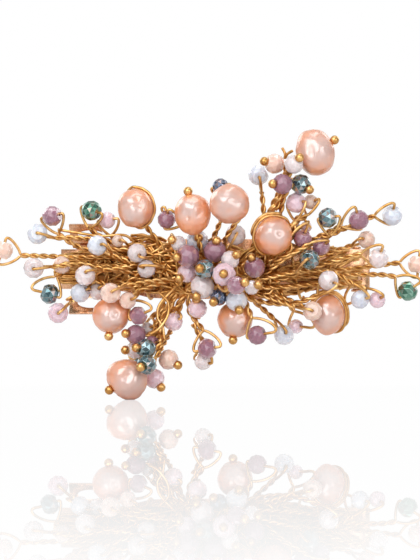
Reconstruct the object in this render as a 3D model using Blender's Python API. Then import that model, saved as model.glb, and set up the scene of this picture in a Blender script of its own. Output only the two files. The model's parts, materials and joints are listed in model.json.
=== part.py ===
"""A barrette: a spring clip whose front plate carries wired sprays of pearls and glass beads.

The clip lies along X. Its plate is on the -Y side, under the decoration, and its clasp arm is on the
+Y side, against the head. Z is up as the barrette is worn. The origin is the middle of the hair gap.
Lengths below are in millimetres, and meshes are made in metres.
"""

import math

import bmesh
import bpy
from mathutils import Matrix, Vector

MM = 0.001
TURN = 2 * math.pi

# The clip
PLATE_LENGTH = 62.0
PLATE_WIDTH = 12.0
TAPER_START = 11.0
TAPER_END = 21.5
PLATE_THICK = 0.8
PLATE_ARCH = 5.0
PLATE_CREST_Y = -5.0
SEW_HOLE_RADIUS = 0.5
SEW_HOLE_INSET = 2.0
SEW_HOLE_Z = 1.9
ARC_STEPS = 14
PIN_RADIUS = 0.6
PIN_HEAD_RADIUS = 1.0
PIN_HEAD_THICK = 0.5
HINGE_CLEARANCE = 0.08
SHEET_GAP = 0.3
HEAD_GAP = 0.15

# The clasp arm
ARM_WIDTH = 6.0
ARM_THICK = 0.8
ARM_ARCH = 1.5
ARM_CREST_Y = 3.2
ARM_RAIL = 1.3
ARM_OVERHANG = 0.3
ARM_END_BAR = 1.8
ARM_SIDE_GAP = 0.2
KNUCKLE_WALL = 0.57
HINGE_INSET = 2.5
EAR_RADIUS = 1.7
EAR_HALF_BASE = 2.2
ARM_ROOT_SOLID = 5.0

# The tension leaf, and the rivet that holds its root off the plate
LEAF_WIDTH = 5.0
LEAF_THICK = 0.5
LEAF_STANDOFF = 0.9
LEAF_ROOT_INSET = 8.0
LEAF_TIP_INSET = 8.0
LEAF_TAIL = 2.0
LEAF_LIFT = math.radians(2.4)
RIVET_RADIUS = 0.6
RIVET_HEAD_RADIUS = 1.1
RIVET_HEAD_THICK = 0.35

# The latch: a saddle with a rod along each side, and a squeeze tab that rocks on each rod
LATCH_INSET = 5.4
SADDLE_LENGTH = 4.4
SADDLE_THICK = 0.6
ROD_RADIUS = 0.4
ROD_STANDOFF = 1.1
TAB_KNUCKLE_WALL = 0.42
TAB_LENGTH = 7.0
TAB_THICK = 0.6
TAB_FLARE = 3.9
TAB_PAD_DROP = 3.4
HOOK_CLEARANCE = 0.07
BEND = 0.5

# Wire, beads and pearls
WIRE_RADIUS = 0.25
TWIST_RADIUS = 0.42
CORE_RADIUS = 0.85
BALL_RADIUS = 0.9
BEAD_RADIUS = 2.0
BEAD_THICK = 2.9
BEAD_TABLE_SHARE = 0.66
BEAD_GIRDLE = 0.7
BEAD_SIDES = 8
ROUND_SIDES = 14
BORE_RADIUS = 0.5
WIRE_ROOM = 0.4
PEARL_SIDES = 10
PEARL_RINGS = 6
LOOP_REACH = 1.7
LOOP_BULGE = 0.8
ROUTE_ROUNDS = 120
COIL_TURNS = 3
COIL_PITCH = 1.1
WIRE_SIDES = 4

COLOURS = {
    "gold": ((0.80, 0.52, 0.20), 0.25, 1.0),
    "clip_gold": ((0.86, 0.60, 0.42), 0.30, 1.0),
    "spring_steel": ((0.55, 0.54, 0.52), 0.35, 1.0),
    "pearl": ((0.95, 0.72, 0.60), 0.18, 0.0),
    "peach": ((0.94, 0.74, 0.66), 0.20, 0.0),
    "mauve": ((0.52, 0.34, 0.44), 0.22, 0.0),
    "pink": ((0.88, 0.74, 0.79), 0.20, 0.0),
    "blue": ((0.72, 0.77, 0.86), 0.20, 0.0),
    "white": ((0.90, 0.88, 0.89), 0.18, 0.0),
    "teal": ((0.12, 0.28, 0.32), 0.10, 0.4),
    "green": ((0.06, 0.26, 0.18), 0.10, 0.4),
}

# How a wire holds a bead: round it in a loop, or straight through it as a pin with a ball on its end
LOOP, PIN = "loop", "pin"

# Each bead: colour, x, z, rise in front of the plate's crest, the way its hole points, how it is held.
# A pin's ball sits at the end that its hole points to.
BEADS = {
    "left": [
        ("peach", -42.6, 3.8, 1.0, (0.3, 0.0, 0.95), LOOP),
        ("mauve", -32.7, 10.6, 2.0, (0.85, -0.4, 0.2), LOOP),
        ("blue", -35.6, 7.0, 3.5, (0.0, -1.0, 0.1), LOOP),
        ("white", -36.3, 0.2, 5.0, (0.0, -1.0, -0.1), LOOP),
        ("teal", -33.2, -5.0, 2.0, (0.9, 0.0, 0.4), LOOP),
        ("pink", -31.5, -8.8, 3.0, (0.1, -1.0, 0.0), LOOP),
        ("green", -24.8, 11.7, 3.0, (0.8, -0.5, -0.3), LOOP),
        ("blue", -23.6, 4.7, 5.0, (0.5, -0.8, 0.1), LOOP),
        ("white", -26.0, -1.3, 6.0, (0.1, -0.9, 0.4), LOOP),
        ("peach", -20.9, -4.8, 7.0, (0.2, -1.0, 0.2), LOOP),
    ],
    "bottom": [
        ("mauve", -15.9, -13.1, 5.0, (-0.9, -0.4, 0.1), PIN),
        ("teal", -13.9, -15.9, 6.5, (-0.9, -0.5, 0.1), PIN),
        ("teal", -13.7, -19.0, 6.0, (-0.5, -0.8, -0.2), PIN),
        ("peach", -9.4, -18.1, 4.0, (0.85, -0.2, -0.5), PIN),
        ("pink", -12.2, -21.9, 3.5, (0.6, -0.2, -0.8), PIN),
        ("mauve", -1.7, -15.9, 3.0, (0.95, -0.2, 0.2), LOOP),
    ],
    "centre": [
        ("mauve", -5.5, 2.6, 6.5, (-0.9, -0.4, -0.1), PIN),
        ("blue", -3.6, 5.6, 4.5, (0.1, -1.0, 0.25), PIN),
        ("mauve", -0.1, 3.5, 7.0, (0.1, -0.4, 0.8), PIN),
        ("teal", -2.1, -0.1, 9.5, (-0.5, -0.9, 0.1), PIN),
        ("pink", 1.7, -1.1, 10.0, (-0.05, -1.0, 0.05), PIN),
        ("white", -2.6, -3.5, 7.5, (-0.5, -0.4, -0.8), PIN),
        ("blue", 4.2, -6.3, 5.5, (0.2, -0.5, -0.8), PIN),
    ],
    "top": [
        ("peach", 11.8, 21.0, 6.0, (-0.9, -0.3, 0.2), PIN),
        ("blue", 8.6, 18.8, 3.0, (0.1, -0.9, -0.3), LOOP),
        ("mauve", 13.3, 16.9, 7.0, (-0.9, -0.5, 0.0), PIN),
        ("teal", 17.0, 16.9, 6.5, (0.8, -0.4, -0.5), PIN),
    ],
    "right": [
        ("mauve", 7.8, 0.3, 5.5, (-0.3, -0.4, 0.9), PIN),
        ("teal", 18.7, 1.9, 8.0, (-0.2, -1.0, 0.0), LOOP),
        ("teal", 22.4, 10.2, 6.0, (0.9, -0.2, 0.1), LOOP),
        ("mauve", 28.6, 9.8, 5.0, (-0.3, -0.3, 0.9), LOOP),
        ("white", 22.5, -2.3, 8.0, (0.6, -0.7, -0.3), LOOP),
        ("blue", 35.4, 10.7, 2.0, (0.1, -0.5, 0.85), LOOP),
        ("white", 32.6, 2.2, 5.0, (0.2, -0.5, 0.8), LOOP),
        ("peach", 40.6, 0.9, 0.5, (0.1, 0.0, 1.0), LOOP),
        ("green", 38.5, -4.4, 2.5, (0.7, -0.2, 0.6), LOOP),
        ("blue", 13.7, -13.2, 4.0, (0.2, -0.9, 0.3), LOOP),
    ],
}

# Each pearl: name, spray, x, z, rise, width, height, the way its hole points, how it is held
PEARLS = [
    ("pearl_upper_left", "left", -16.0, 12.2, 5.0, 7.4, 7.9, (-0.2, -0.1, 1.0), LOOP),
    ("pearl_lower_left", "left", -20.9, -9.3, 4.5, 7.8, 7.4, (-0.1, -0.2, -1.0), PIN),
    ("pearl_bottom", "bottom", -17.8, -22.1, 5.0, 7.8, 8.3, (-0.8, -0.2, -0.5), PIN),
    ("pearl_upper_centre", "centre", -4.6, 10.9, 4.5, 7.5, 8.5, (-0.2, -0.1, 1.0), PIN),
    ("pearl_upper_middle", "centre", 2.9, 12.9, 6.5, 8.2, 8.2, (0.3, 0.1, 1.0), PIN),
    ("pearl_lower_centre", "centre", 3.9, -10.2, 3.5, 7.4, 7.6, (-0.1, -0.1, -1.0), PIN),
    ("pearl_top", "top", 19.9, 23.4, 6.0, 8.0, 9.4, (0.8, -0.1, 0.5), PIN),
    ("pearl_upper_right", "right", 11.5, 6.6, 8.0, 7.8, 7.8, (-0.3, -0.5, 0.9), LOOP),
    ("pearl_lower_right", "right", 22.5, -9.3, 5.0, 7.6, 7.9, (0.9, 0.2, -0.3), LOOP),
]

# Each spray's core of twisted wire: x, z and rise of its points. A stem joins the core near its bead.
CORES = {
    "left": [(-7.5, 0.6, 1.4), (-13.0, 1.2, 1.4), (-19.0, 0.4, 1.6), (-25.0, 0.8, 1.7)],
    "bottom": [(-8.2, -4.0, 1.4), (-9.0, -7.2, 1.6), (-11.0, -11.0, 1.8), (-12.4, -13.4, 2.6)],
    "centre": [(-3.4, 1.6, 1.4), (-0.6, 0.4, 1.9), (2.2, -0.6, 1.9), (3.6, -2.4, 1.5)],
    "top": [(7.4, 3.9, 1.3), (9.2, 7.4, 1.5), (10.6, 11.2, 2.2), (12.0, 13.8, 3.4)],
    "right": [(9.0, -1.9, 1.4), (14.6, -1.2, 1.4), (20.4, 0.2, 1.5), (25.6, 0.6, 1.7)],
}
COILS = {"left": -14.6, "right": 15.6}


def arch(x, half_chord, rise):
    """How far an arc of this half chord and rise has bent towards the head at x."""
    radius = (half_chord**2 + rise**2) / (2 * rise)
    return radius - math.sqrt(max(radius**2 - x**2, 0.0))


def arch_slope(x, half_chord, rise):
    radius = (half_chord**2 + rise**2) / (2 * rise)
    return math.asin(x / radius)


def plate_y(x):
    """The plate's middle surface."""
    inside = max(-PLATE_LENGTH / 2, min(PLATE_LENGTH / 2, x))
    return PLATE_CREST_Y + arch(inside, PLATE_LENGTH / 2, PLATE_ARCH)


def plate_width(x):
    """Full width along the middle, narrowing to the width that the hinge's ears stand on."""
    share = max(0.0, min(1.0, (abs(x) - TAPER_START) / (TAPER_END - TAPER_START)))
    return PLATE_WIDTH + (PLATE_END_WIDTH - PLATE_WIDTH) * share * share * (3 - 2 * share)


def arm_y(x):
    return ARM_CREST_Y + arch(x, PLATE_LENGTH / 2, ARM_ARCH)


HINGE_X = PLATE_LENGTH / 2 - HINGE_INSET
HINGE_Y = arm_y(HINGE_X)
LATCH_X = -PLATE_LENGTH / 2 + LATCH_INSET
LEAF_ROOT_X = PLATE_LENGTH / 2 - LEAF_ROOT_INSET
LEAF_TIP_X = -PLATE_LENGTH / 2 + LEAF_TIP_INSET
ARM_TIP_X = -PLATE_LENGTH / 2 - ARM_OVERHANG
FRONT_Y = PLATE_CREST_Y - PLATE_THICK / 2
EAR_Z = ARM_WIDTH / 2 + ARM_SIDE_GAP + PLATE_THICK / 2
PLATE_END_WIDTH = EAR_Z * 2 + PLATE_THICK
KNUCKLE_RADIUS = PIN_RADIUS + HINGE_CLEARANCE + KNUCKLE_WALL
SADDLE_LOW = PLATE_THICK / 2 + 0.1
ROD_Y = SADDLE_LOW + SADDLE_THICK / 2
ROD_Z = PLATE_END_WIDTH / 2 + ROD_STANDOFF


def clear_scene():
    for old in list(bpy.data.objects):
        bpy.data.objects.remove(old, do_unlink=True)


def material(name):
    found = bpy.data.materials.get(name)
    if found:
        return found
    colour, roughness, metallic = COLOURS[name]
    made = bpy.data.materials.new(name)
    made.use_nodes = True
    shader = made.node_tree.nodes["Principled BSDF"]
    shader.inputs["Base Color"].default_value = (*colour, 1.0)
    shader.inputs["Roughness"].default_value = roughness
    shader.inputs["Metallic"].default_value = metallic
    return made


def add_object(name, mesh_maker, colour, origin=(0, 0, 0), rotation=None, smooth=False):
    """One object from a function that fills a bmesh in millimetres, about its own origin."""
    shape = bmesh.new()
    mesh_maker(shape)
    bmesh.ops.recalc_face_normals(shape, faces=shape.faces)
    bmesh.ops.scale(shape, vec=(MM, MM, MM), verts=shape.verts)
    mesh = bpy.data.meshes.new(name)
    shape.to_mesh(mesh)
    shape.free()
    if smooth:
        mesh.shade_smooth()
        mesh.set_sharp_from_angle(angle=math.radians(40))
    if colour:
        mesh.materials.append(material(colour))
    made = bpy.data.objects.new(name, mesh)
    bpy.context.scene.collection.objects.link(made)
    made.location = Vector(origin) * MM
    if rotation is not None:
        made.rotation_mode = "QUATERNION"
        made.rotation_quaternion = rotation
    return made


def helper(name, mesh_maker, origin=(0, 0, 0), rotation=None):
    """A cutter, or a shape that a Boolean joins to a part. It isn't a part itself."""
    made = add_object(name, mesh_maker, None, origin, rotation)
    made.hide_render = True
    made.display_type = "WIRE"
    return made


def boolean(target, other, operation):
    modifier = target.modifiers.new(other.name, "BOOLEAN")
    modifier.object = other
    modifier.operation = operation
    modifier.solver = "EXACT"
    return modifier


def loft(shape, rings, closed_ends=True, joined=False):
    """Faces between rings of points. The rings close onto each other if joined, as on a bored bead."""
    loops = [[shape.verts.new(p) for p in ring] for ring in rings]
    count = len(loops[0])
    pairs = list(zip(loops, loops[1:]))
    if joined:
        pairs.append((loops[-1], loops[0]))
    for a, b in pairs:
        for i in range(count):
            j = (i + 1) % count
            shape.faces.new((a[i], a[j], b[j], b[i]))
    if closed_ends and not joined:
        shape.faces.new(list(reversed(loops[0])))
        shape.faces.new(loops[-1])


def circle(radius, height, sides, phase=0.0):
    steps = [TURN * (i + phase) / sides for i in range(sides)]
    return [Vector((radius * math.cos(a), radius * math.sin(a), height)) for a in steps]


def turned(profile, sides, joined=False):
    """A maker of the body that this profile of (radius, height) points turns about Z."""

    def make(shape):
        loft(shape, [circle(r, h, sides) for r, h in profile], joined=joined)

    return make


def slab(outline, low, high):
    """A maker of the prism on this outline of (x, y) points, from z = low to z = high."""

    def make(shape):
        loft(shape, [[Vector((x, y, z)) for x, y in outline] for z in (low, high)])

    return make


def strip(path, thick, widths):
    """A maker of a bent strip of sheet: its middle line's (x, y) points, thickness, and widths in Z."""

    def make(shape):
        rings = []
        for i, ((x, y), width) in enumerate(zip(path, widths)):
            before, after = path[max(i - 1, 0)], path[min(i + 1, len(path) - 1)]
            along = Vector((after[0] - before[0], after[1] - before[1], 0)).normalized()
            side = Vector((-along.y, along.x, 0)) * thick / 2
            centre, up = Vector((x, y, 0)), Vector((0, 0, width / 2))
            rings.append([centre + side + up, centre - side + up, centre - side - up, centre + side - up])
        loft(shape, rings)

    return make


def tube(shape, path, radius, sides=WIRE_SIDES):
    """A round wire along these points, with closed ends."""
    turned_to, normal, rings = None, None, []
    for i, point in enumerate(path):
        along = (path[min(i + 1, len(path) - 1)] - path[max(i - 1, 0)]).normalized()
        if normal is None:
            normal = along.orthogonal().normalized()
        else:
            normal = (turned_to.rotation_difference(along) @ normal).normalized()
        turned_to, other = along, along.cross(normal)
        angles = [TURN * k / sides for k in range(sides)]
        rings.append([point + (normal * math.cos(a) + other * math.sin(a)) * radius for a in angles])
    loft(shape, rings)


def span(low, high, steps):
    return [low + (high - low) * i / steps for i in range(steps + 1)]


def at_plate(x):
    """The plate's own frame at x: origin on its middle surface, local Y out of its back."""
    turn = Matrix.Rotation(arch_slope(x, PLATE_LENGTH / 2, PLATE_ARCH), 4, "Z")
    return Matrix.Translation((x, plate_y(x), 0)) @ turn


def lying(axis):
    """The turn that takes local Z to this axis."""
    return Vector((0, 0, 1)).rotation_difference(Vector(axis).normalized())


def at_frame(frame, local=(0, 0, 0)):
    """An origin and a rotation inside a frame, for add_object."""
    return {"origin": frame @ Vector(local), "rotation": frame.to_quaternion()}


def along_frame(frame, local):
    """As at_frame, with the piece's own X, Y and Z along the frame's Y, Z and X, as a rod lies."""
    cycle = Matrix(((0, 0, 1), (1, 0, 0), (0, 1, 0)))
    return {"origin": frame @ Vector(local), "rotation": (frame.to_3x3() @ cycle).to_quaternion()}


def across_frame(frame, local=(0, 0, 0)):
    """As at_frame, with the piece's own Z along the frame's Y, as a rivet through the plate."""
    turn = frame.to_quaternion() @ Matrix.Rotation(-TURN / 4, 4, "X").to_quaternion()
    return {"origin": frame @ Vector(local), "rotation": turn}


def rivet(low, high, collar=0.0):
    """A rivet's profile along its own axis, from under its lower head to under its upper one."""
    profile = [(RIVET_HEAD_RADIUS, low - RIVET_HEAD_THICK), (RIVET_HEAD_RADIUS, low), (RIVET_RADIUS, low)]
    if collar:
        start = PLATE_THICK / 2 + 0.1
        stop = start + collar
        profile += [(RIVET_RADIUS, start), (RIVET_HEAD_RADIUS, start)]
        profile += [(RIVET_HEAD_RADIUS, stop), (RIVET_RADIUS, stop)]
    top = high + RIVET_HEAD_THICK
    profile += [(RIVET_RADIUS, high), (RIVET_HEAD_RADIUS, high), (RIVET_HEAD_RADIUS, top)]
    return turned(profile, ROUND_SIDES)


def bore(name, radius, frame_values, reach=20.0):
    return helper(name, turned([(radius, -reach), (radius, reach)], ROUND_SIDES), **frame_values)


def make_plate():
    xs = span(-PLATE_LENGTH / 2, PLATE_LENGTH / 2, ARC_STEPS)
    path = [(x, plate_y(x)) for x in xs]
    plate = add_object("base_plate", strip(path, PLATE_THICK, [plate_width(x) for x in xs]), "clip_gold")
    left, right = HINGE_X - EAR_HALF_BASE, HINGE_X + EAR_HALF_BASE
    outline = [(left, plate_y(left)), (right, plate_y(right))]
    for angle in span(-0.2, math.pi + 0.2, 10):
        outline.append((HINGE_X + EAR_RADIUS * math.cos(angle), HINGE_Y + EAR_RADIUS * math.sin(angle)))
    for side, name in ((1, "upper"), (-1, "lower")):
        middle = side * EAR_Z
        ear = helper(f"ear_{name}", slab(outline, middle - PLATE_THICK / 2, middle + PLATE_THICK / 2))
        boolean(plate, ear, "UNION")
    hole = PIN_RADIUS + HINGE_CLEARANCE
    boolean(plate, bore("ear_hole", hole, {"origin": (HINGE_X, HINGE_Y, 0)}), "DIFFERENCE")
    for name, x, z, radius in (
        ("leaf_rivet_hole", LEAF_ROOT_X, 0, RIVET_RADIUS + 0.1),
        ("latch_rivet_hole", LATCH_X, 0, RIVET_RADIUS + 0.1),
        ("left_sew_hole", -PLATE_LENGTH / 2 + SEW_HOLE_INSET, SEW_HOLE_Z, SEW_HOLE_RADIUS),
        ("right_sew_hole", PLATE_LENGTH / 2 - SEW_HOLE_INSET, -SEW_HOLE_Z, SEW_HOLE_RADIUS),
    ):
        boolean(plate, bore(name, radius, across_frame(at_plate(x), (0, 0, z)), 2.0), "DIFFERENCE")


def make_hinge_pin():
    reach = PLATE_END_WIDTH / 2 + 0.1
    profile = [
        (PIN_HEAD_RADIUS, -reach - PIN_HEAD_THICK),
        (PIN_HEAD_RADIUS, -reach),
        (PIN_RADIUS, -reach),
        (PIN_RADIUS, reach),
        (PIN_HEAD_RADIUS, reach),
        (PIN_HEAD_RADIUS, reach + PIN_HEAD_THICK),
    ]
    add_object("hinge_pin", turned(profile, ROUND_SIDES), "clip_gold", (HINGE_X, HINGE_Y, 0), smooth=True)


def make_arm():
    """The clasp arm: two rails and an end bar cut from one strip, rolled round the hinge pin."""
    hinge = Vector((HINGE_X, HINGE_Y))
    xs = span(HINGE_X - KNUCKLE_RADIUS / 2, ARM_TIP_X, ARC_STEPS)
    path = [(x - hinge.x, arm_y(x) - hinge.y) for x in xs]
    arm = add_object("clasp_arm", strip(path, ARM_THICK, [ARM_WIDTH] * len(xs)), "clip_gold", (*hinge, 0))
    knuckle = ARM_WIDTH / 2
    roll = turned([(KNUCKLE_RADIUS, -knuckle), (KNUCKLE_RADIUS, knuckle)], ROUND_SIDES)
    boolean(arm, helper("arm_knuckle", roll, (*hinge, 0)), "UNION")
    hole = PIN_RADIUS + HINGE_CLEARANCE
    boolean(arm, bore("arm_hole", hole, {"origin": (*hinge, 0)}), "DIFFERENCE")
    low, high = ARM_TIP_X + ARM_END_BAR, HINGE_X - ARM_ROOT_SOLID
    half = ARM_WIDTH / 2 - ARM_RAIL
    window = slab([(low, -5), (high, -5), (high, 15), (low, 15)], -half, half)
    boolean(arm, helper("arm_window", window), "DIFFERENCE")


def make_leaf():
    """The tension leaf follows the plate's arch, lifted about its riveted root."""
    offset = PLATE_THICK / 2 + LEAF_STANDOFF + LEAF_THICK / 2
    root = at_plate(LEAF_ROOT_X) @ Vector((0, offset, 0))
    lift = Matrix.Rotation(-LEAF_LIFT, 4, "Z")
    path = []
    for x in span(LEAF_ROOT_X + LEAF_TAIL, LEAF_TIP_X, ARC_STEPS):
        point = lift @ (at_plate(x) @ Vector((0, offset, 0)) - root)
        path.append((point.x, point.y))
    sheet = strip(path, LEAF_THICK, [LEAF_WIDTH] * len(path))
    leaf = add_object("tension_leaf", sheet, "spring_steel", root)
    frame = at_plate(LEAF_ROOT_X)
    boolean(leaf, bore("leaf_hole", RIVET_RADIUS + 0.15, across_frame(frame), 5.0), "DIFFERENCE")
    stem = rivet(-PLATE_THICK / 2 - 0.1, offset + LEAF_THICK / 2 + HEAD_GAP, LEAF_STANDOFF - 0.2)
    add_object("leaf_rivet", stem, "clip_gold", **across_frame(frame), smooth=True)


def make_latch():
    """The saddle and its rivet, and the two squeeze tabs whose hooks hold the arm's edges."""
    frame = at_plate(LATCH_X)
    half_x, top = SADDLE_LENGTH / 2, SADDLE_LOW + SADDLE_THICK
    outline = [(-half_x, SADDLE_LOW), (half_x, SADDLE_LOW), (half_x, top), (-half_x, top)]
    saddle = add_object("latch_saddle", slab(outline, -ROD_Z, ROD_Z), "clip_gold", **at_frame(frame))
    boolean(saddle, bore("saddle_hole", RIVET_RADIUS + 0.1, across_frame(frame), 5.0), "DIFFERENCE")
    shank = rivet(-PLATE_THICK / 2 - 0.1, top + 0.1)
    add_object("latch_rivet", shank, "clip_gold", **across_frame(frame), smooth=True)
    arm_top = (frame.inverted() @ Vector((LATCH_X, arm_y(LATCH_X), 0))).y + ARM_THICK / 2
    for side, name in ((1, "upper"), (-1, "lower")):
        rod = turned([(ROD_RADIUS, -TAB_LENGTH / 2), (ROD_RADIUS, TAB_LENGTH / 2)], ROUND_SIDES)
        boolean(saddle, helper(f"{name}_rod", rod, **along_frame(frame, (0, ROD_Y, side * ROD_Z))), "UNION")
        make_tab(f"{name}_squeeze_tab", frame, side, arm_top)


def make_tab(name, frame, side, arm_top):
    """A tab rocks on its rod: pinching the flared pads lifts the hooks off the arm."""
    pivot = along_frame(frame, (0, ROD_Y, side * ROD_Z))
    hook_y = arm_top + HEAD_GAP + TAB_THICK / 2 - ROD_Y
    hook_z = ARM_WIDTH / 2 + HOOK_CLEARANCE - ROD_Z
    pad_y = -ROD_Y - PLATE_THICK / 2 - 0.2
    path = [(hook_y, hook_z), (hook_y, -BEND), (hook_y - BEND, 0.0), (pad_y + BEND, 0.0)]
    path += [(pad_y - BEND / 2, BEND / 2), (pad_y - TAB_PAD_DROP / 2, TAB_FLARE)]
    length = TAB_LENGTH - 2 * HEAD_GAP
    sheet = strip([(y, side * z) for y, z in path], TAB_THICK, [length] * len(path))
    tab = add_object(name, sheet, "clip_gold", **pivot)
    bore_radius = ROD_RADIUS + HINGE_CLEARANCE
    knuckle_radius = bore_radius + TAB_KNUCKLE_WALL
    knuckle = turned([(knuckle_radius, -length / 2), (knuckle_radius, length / 2)], ROUND_SIDES)
    boolean(tab, helper(f"{name}_knuckle", knuckle, **pivot), "UNION")
    boolean(tab, bore(f"{name}_bore", bore_radius, pivot), "DIFFERENCE")
    room = SADDLE_LENGTH / 2 + HEAD_GAP
    reach = knuckle_radius + HEAD_GAP
    notch = slab([(-reach, -reach), (reach, -reach), (reach, reach), (-reach, reach)], -room, room)
    boolean(tab, helper(f"{name}_notch", notch, **pivot), "DIFFERENCE")


class Held:
    """A bead or a pearl: where it is, how far it reaches, and how its wire holds it."""

    def __init__(self, name, spray, centre, radius, half_length, axis, hold):
        self.name, self.spray, self.centre = name, spray, Vector(centre)
        self.radius, self.half_length, self.hold = radius, half_length, hold
        self.axis = Vector(axis).normalized()

    def reach(self):
        return max(self.radius, self.half_length)


def settle(found):
    """Moves each piece forwards, nearest the plate first, until a wire fits before those placed."""
    placed = []
    for piece in sorted(found, key=lambda p: -p.centre.y):
        blocked = True
        while blocked:
            blocked = False
            for other in placed:
                room = piece.reach() + other.reach() + WIRE_ROOM
                away = piece.centre - other.centre
                flat = math.hypot(away.x, away.z)
                if away.length < room - 1e-6 and flat < room:
                    piece.centre.y = other.centre.y - math.sqrt(room**2 - flat**2)
                    blocked = True
        placed.append(piece)


def all_held():
    found = []
    for spray, rows in BEADS.items():
        for number, (colour, x, z, rise, axis, hold) in enumerate(rows, 1):
            name = f"{spray}_bead_{number}_{colour}"
            found.append(Held(name, spray, (x, FRONT_Y - rise, z), BEAD_RADIUS, BEAD_THICK / 2, axis, hold))
    for name, spray, x, z, rise, width, height, axis, hold in PEARLS:
        found.append(Held(name, spray, (x, FRONT_Y - rise, z), width / 2, height / 2, axis, hold))
    settle(found)
    return found


def make_bead(piece):
    half, table = BEAD_THICK / 2, BEAD_RADIUS * BEAD_TABLE_SHARE
    girdle = BEAD_GIRDLE / 2
    profile = [
        (BORE_RADIUS, half),
        (table, half),
        (BEAD_RADIUS, girdle),
        (BEAD_RADIUS, -girdle),
        (table, -half),
        (BORE_RADIUS, -half),
    ]
    colour = piece.name.rsplit("_", 1)[1]
    maker = turned(profile, BEAD_SIDES, joined=True)
    add_object(piece.name, maker, colour, piece.centre, lying(piece.axis))


def make_pearl(piece):
    """A pearl is longer than wide along its bore, with one end a little fuller than the other."""
    start = math.asin(BORE_RADIUS / piece.radius)
    profile = []
    for angle in span(start, math.pi - start, PEARL_RINGS):
        fuller = 1.0 - 0.08 * math.cos(angle) * math.sin(angle)
        profile.append((piece.radius * math.sin(angle) * fuller, piece.half_length * math.cos(angle)))
    maker = turned(profile, PEARL_SIDES, joined=True)
    add_object(piece.name, maker, "pearl", piece.centre, lying(piece.axis), smooth=True)


def smooth_path(points, per_span=2):
    """Points along a Catmull-Rom curve through these ones."""
    ends = [points[0] * 2 - points[1], *points, points[-1] * 2 - points[-2]]
    found = []
    for a, b, c, d in zip(ends, ends[1:], ends[2:], ends[3:]):
        square, cube = 2 * a - 5 * b + 4 * c - d, 3 * b - a - 3 * c + d
        for t in span(0, 1, per_span)[:-1]:
            found.append(0.5 * (2 * b + (c - a) * t + square * t**2 + cube * t**3))
    return [*found, points[-1]]


def clear_of(point, radius, blocks):
    """The point moved out of every (centre, reach) ball that it is too near to, and out of the plate."""
    for centre, reach in blocks:
        away = point - centre
        room = reach + radius
        if away.length < room:
            direction = away.normalized() if away.length > 1e-6 else Vector((0, -1, 0))
            point = centre + direction * room
    over_plate = abs(point.z) < PLATE_WIDTH / 2 + 1.0 and abs(point.x) < PLATE_LENGTH / 2 + 1.0
    if over_plate:
        point.y = min(point.y, plate_y(point.x) - PLATE_THICK / 2 - radius - SHEET_GAP)
    return point


def route(path, radius, blocks):
    """Works the inner points of a path until the wire passes every block, and keeps its ends."""
    for _ in range(ROUTE_ROUNDS):
        for i in range(1, len(path) - 1):
            middle = (path[i - 1] + path[i + 1]) / 2
            path[i] = clear_of(path[i].lerp(middle, 0.2), radius, blocks)
    return path


def core_points(spray):
    points = [Vector((x, plate_y(x) - PLATE_THICK / 2 - rise, z)) for x, z, rise in CORES[spray]]
    return smooth_path(points)


def stem_root(spray, piece):
    """Where on its spray's core a piece's stem joins: the point nearest a spot behind the piece."""
    core = core_points(spray)
    inwards = core[0].lerp(piece.centre, 0.55)
    return min(core, key=lambda p: (p - inwards).length)


def loop_points(piece, towards):
    """A teardrop of wire: from the stem, through the bore along the axis, and back to the stem."""
    side = towards - piece.axis * towards.dot(piece.axis)
    side.normalize()
    tip = piece.centre + side * (piece.radius + LOOP_REACH)
    ends, shoulders = [], []
    for way in (1, -1):
        axis = piece.axis * way
        face = piece.centre + axis * (piece.half_length + WIRE_RADIUS + 0.15)
        ends.append([tip + axis * (WIRE_RADIUS + 0.03), tip + axis * (WIRE_RADIUS + 0.2) - side * 0.5])
        shoulders.append([face + axis * LOOP_BULGE + side * piece.radius * 0.7, face + side * 0.1])
    first = [*ends[0], *shoulders[0]]
    last = [*reversed(shoulders[1]), *reversed(ends[1])]
    return tip, [*smooth_path(first), piece.centre, *smooth_path(last)]


def wires_of(piece, blocks):
    """The wires of one piece: its loop or its pin and ball, and the stem that joins it to the core."""
    root = stem_root(piece.spray, piece)
    others = [block for block in blocks if (block[0] - piece.centre).length > 1e-6]
    if piece.hold == LOOP:
        start, wire = loop_points(piece, root - piece.centre)
        yield "loop", lambda shape: tube(shape, wire, WIRE_RADIUS)
    else:
        out = piece.axis * (piece.half_length + BALL_RADIUS + 0.1)
        start = piece.centre - piece.axis * (piece.half_length + 0.8)
        yield "pin", lambda shape: tube(shape, [piece.centre + out, piece.centre, start], WIRE_RADIUS)
        yield "ball", lambda shape: add_ball(shape, piece.centre + out)
    own = [(piece.centre, piece.reach() + 0.1)]
    steps = max(3, round((root - start).length / 2.2))
    path = [start.lerp(root, i / steps) for i in range(steps + 1)]
    yield "stem", lambda shape: tube(shape, route(path, TWIST_RADIUS, others + own), TWIST_RADIUS)


def add_ball(shape, centre):
    bmesh.ops.create_icosphere(shape, subdivisions=1, radius=BALL_RADIUS, matrix=Matrix.Translation(centre))


def coil_path(x_start):
    """The turns of wire that bind a core to the plate: round the plate's edges and over the core."""
    half_z = PLATE_WIDTH / 2 + SHEET_GAP / 2 + WIRE_RADIUS
    back = PLATE_THICK / 2 + WIRE_RADIUS + 0.12
    front = PLATE_THICK / 2 + CORE_RADIUS * 2 + 0.6
    half = [(-front, 1.5), (1 - front, half_z - 0.6), (-PLATE_THICK, half_z + 0.1), (back, half_z)]
    corners = [*half, *((y, -z) for y, z in reversed(half))]
    path = []
    for i in range(COIL_TURNS * len(corners) + 1):
        x = x_start + COIL_PITCH * i / len(corners)
        y, z = corners[i % len(corners)]
        path.append(Vector((x, plate_y(x) + y, z)))
    return path


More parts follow.
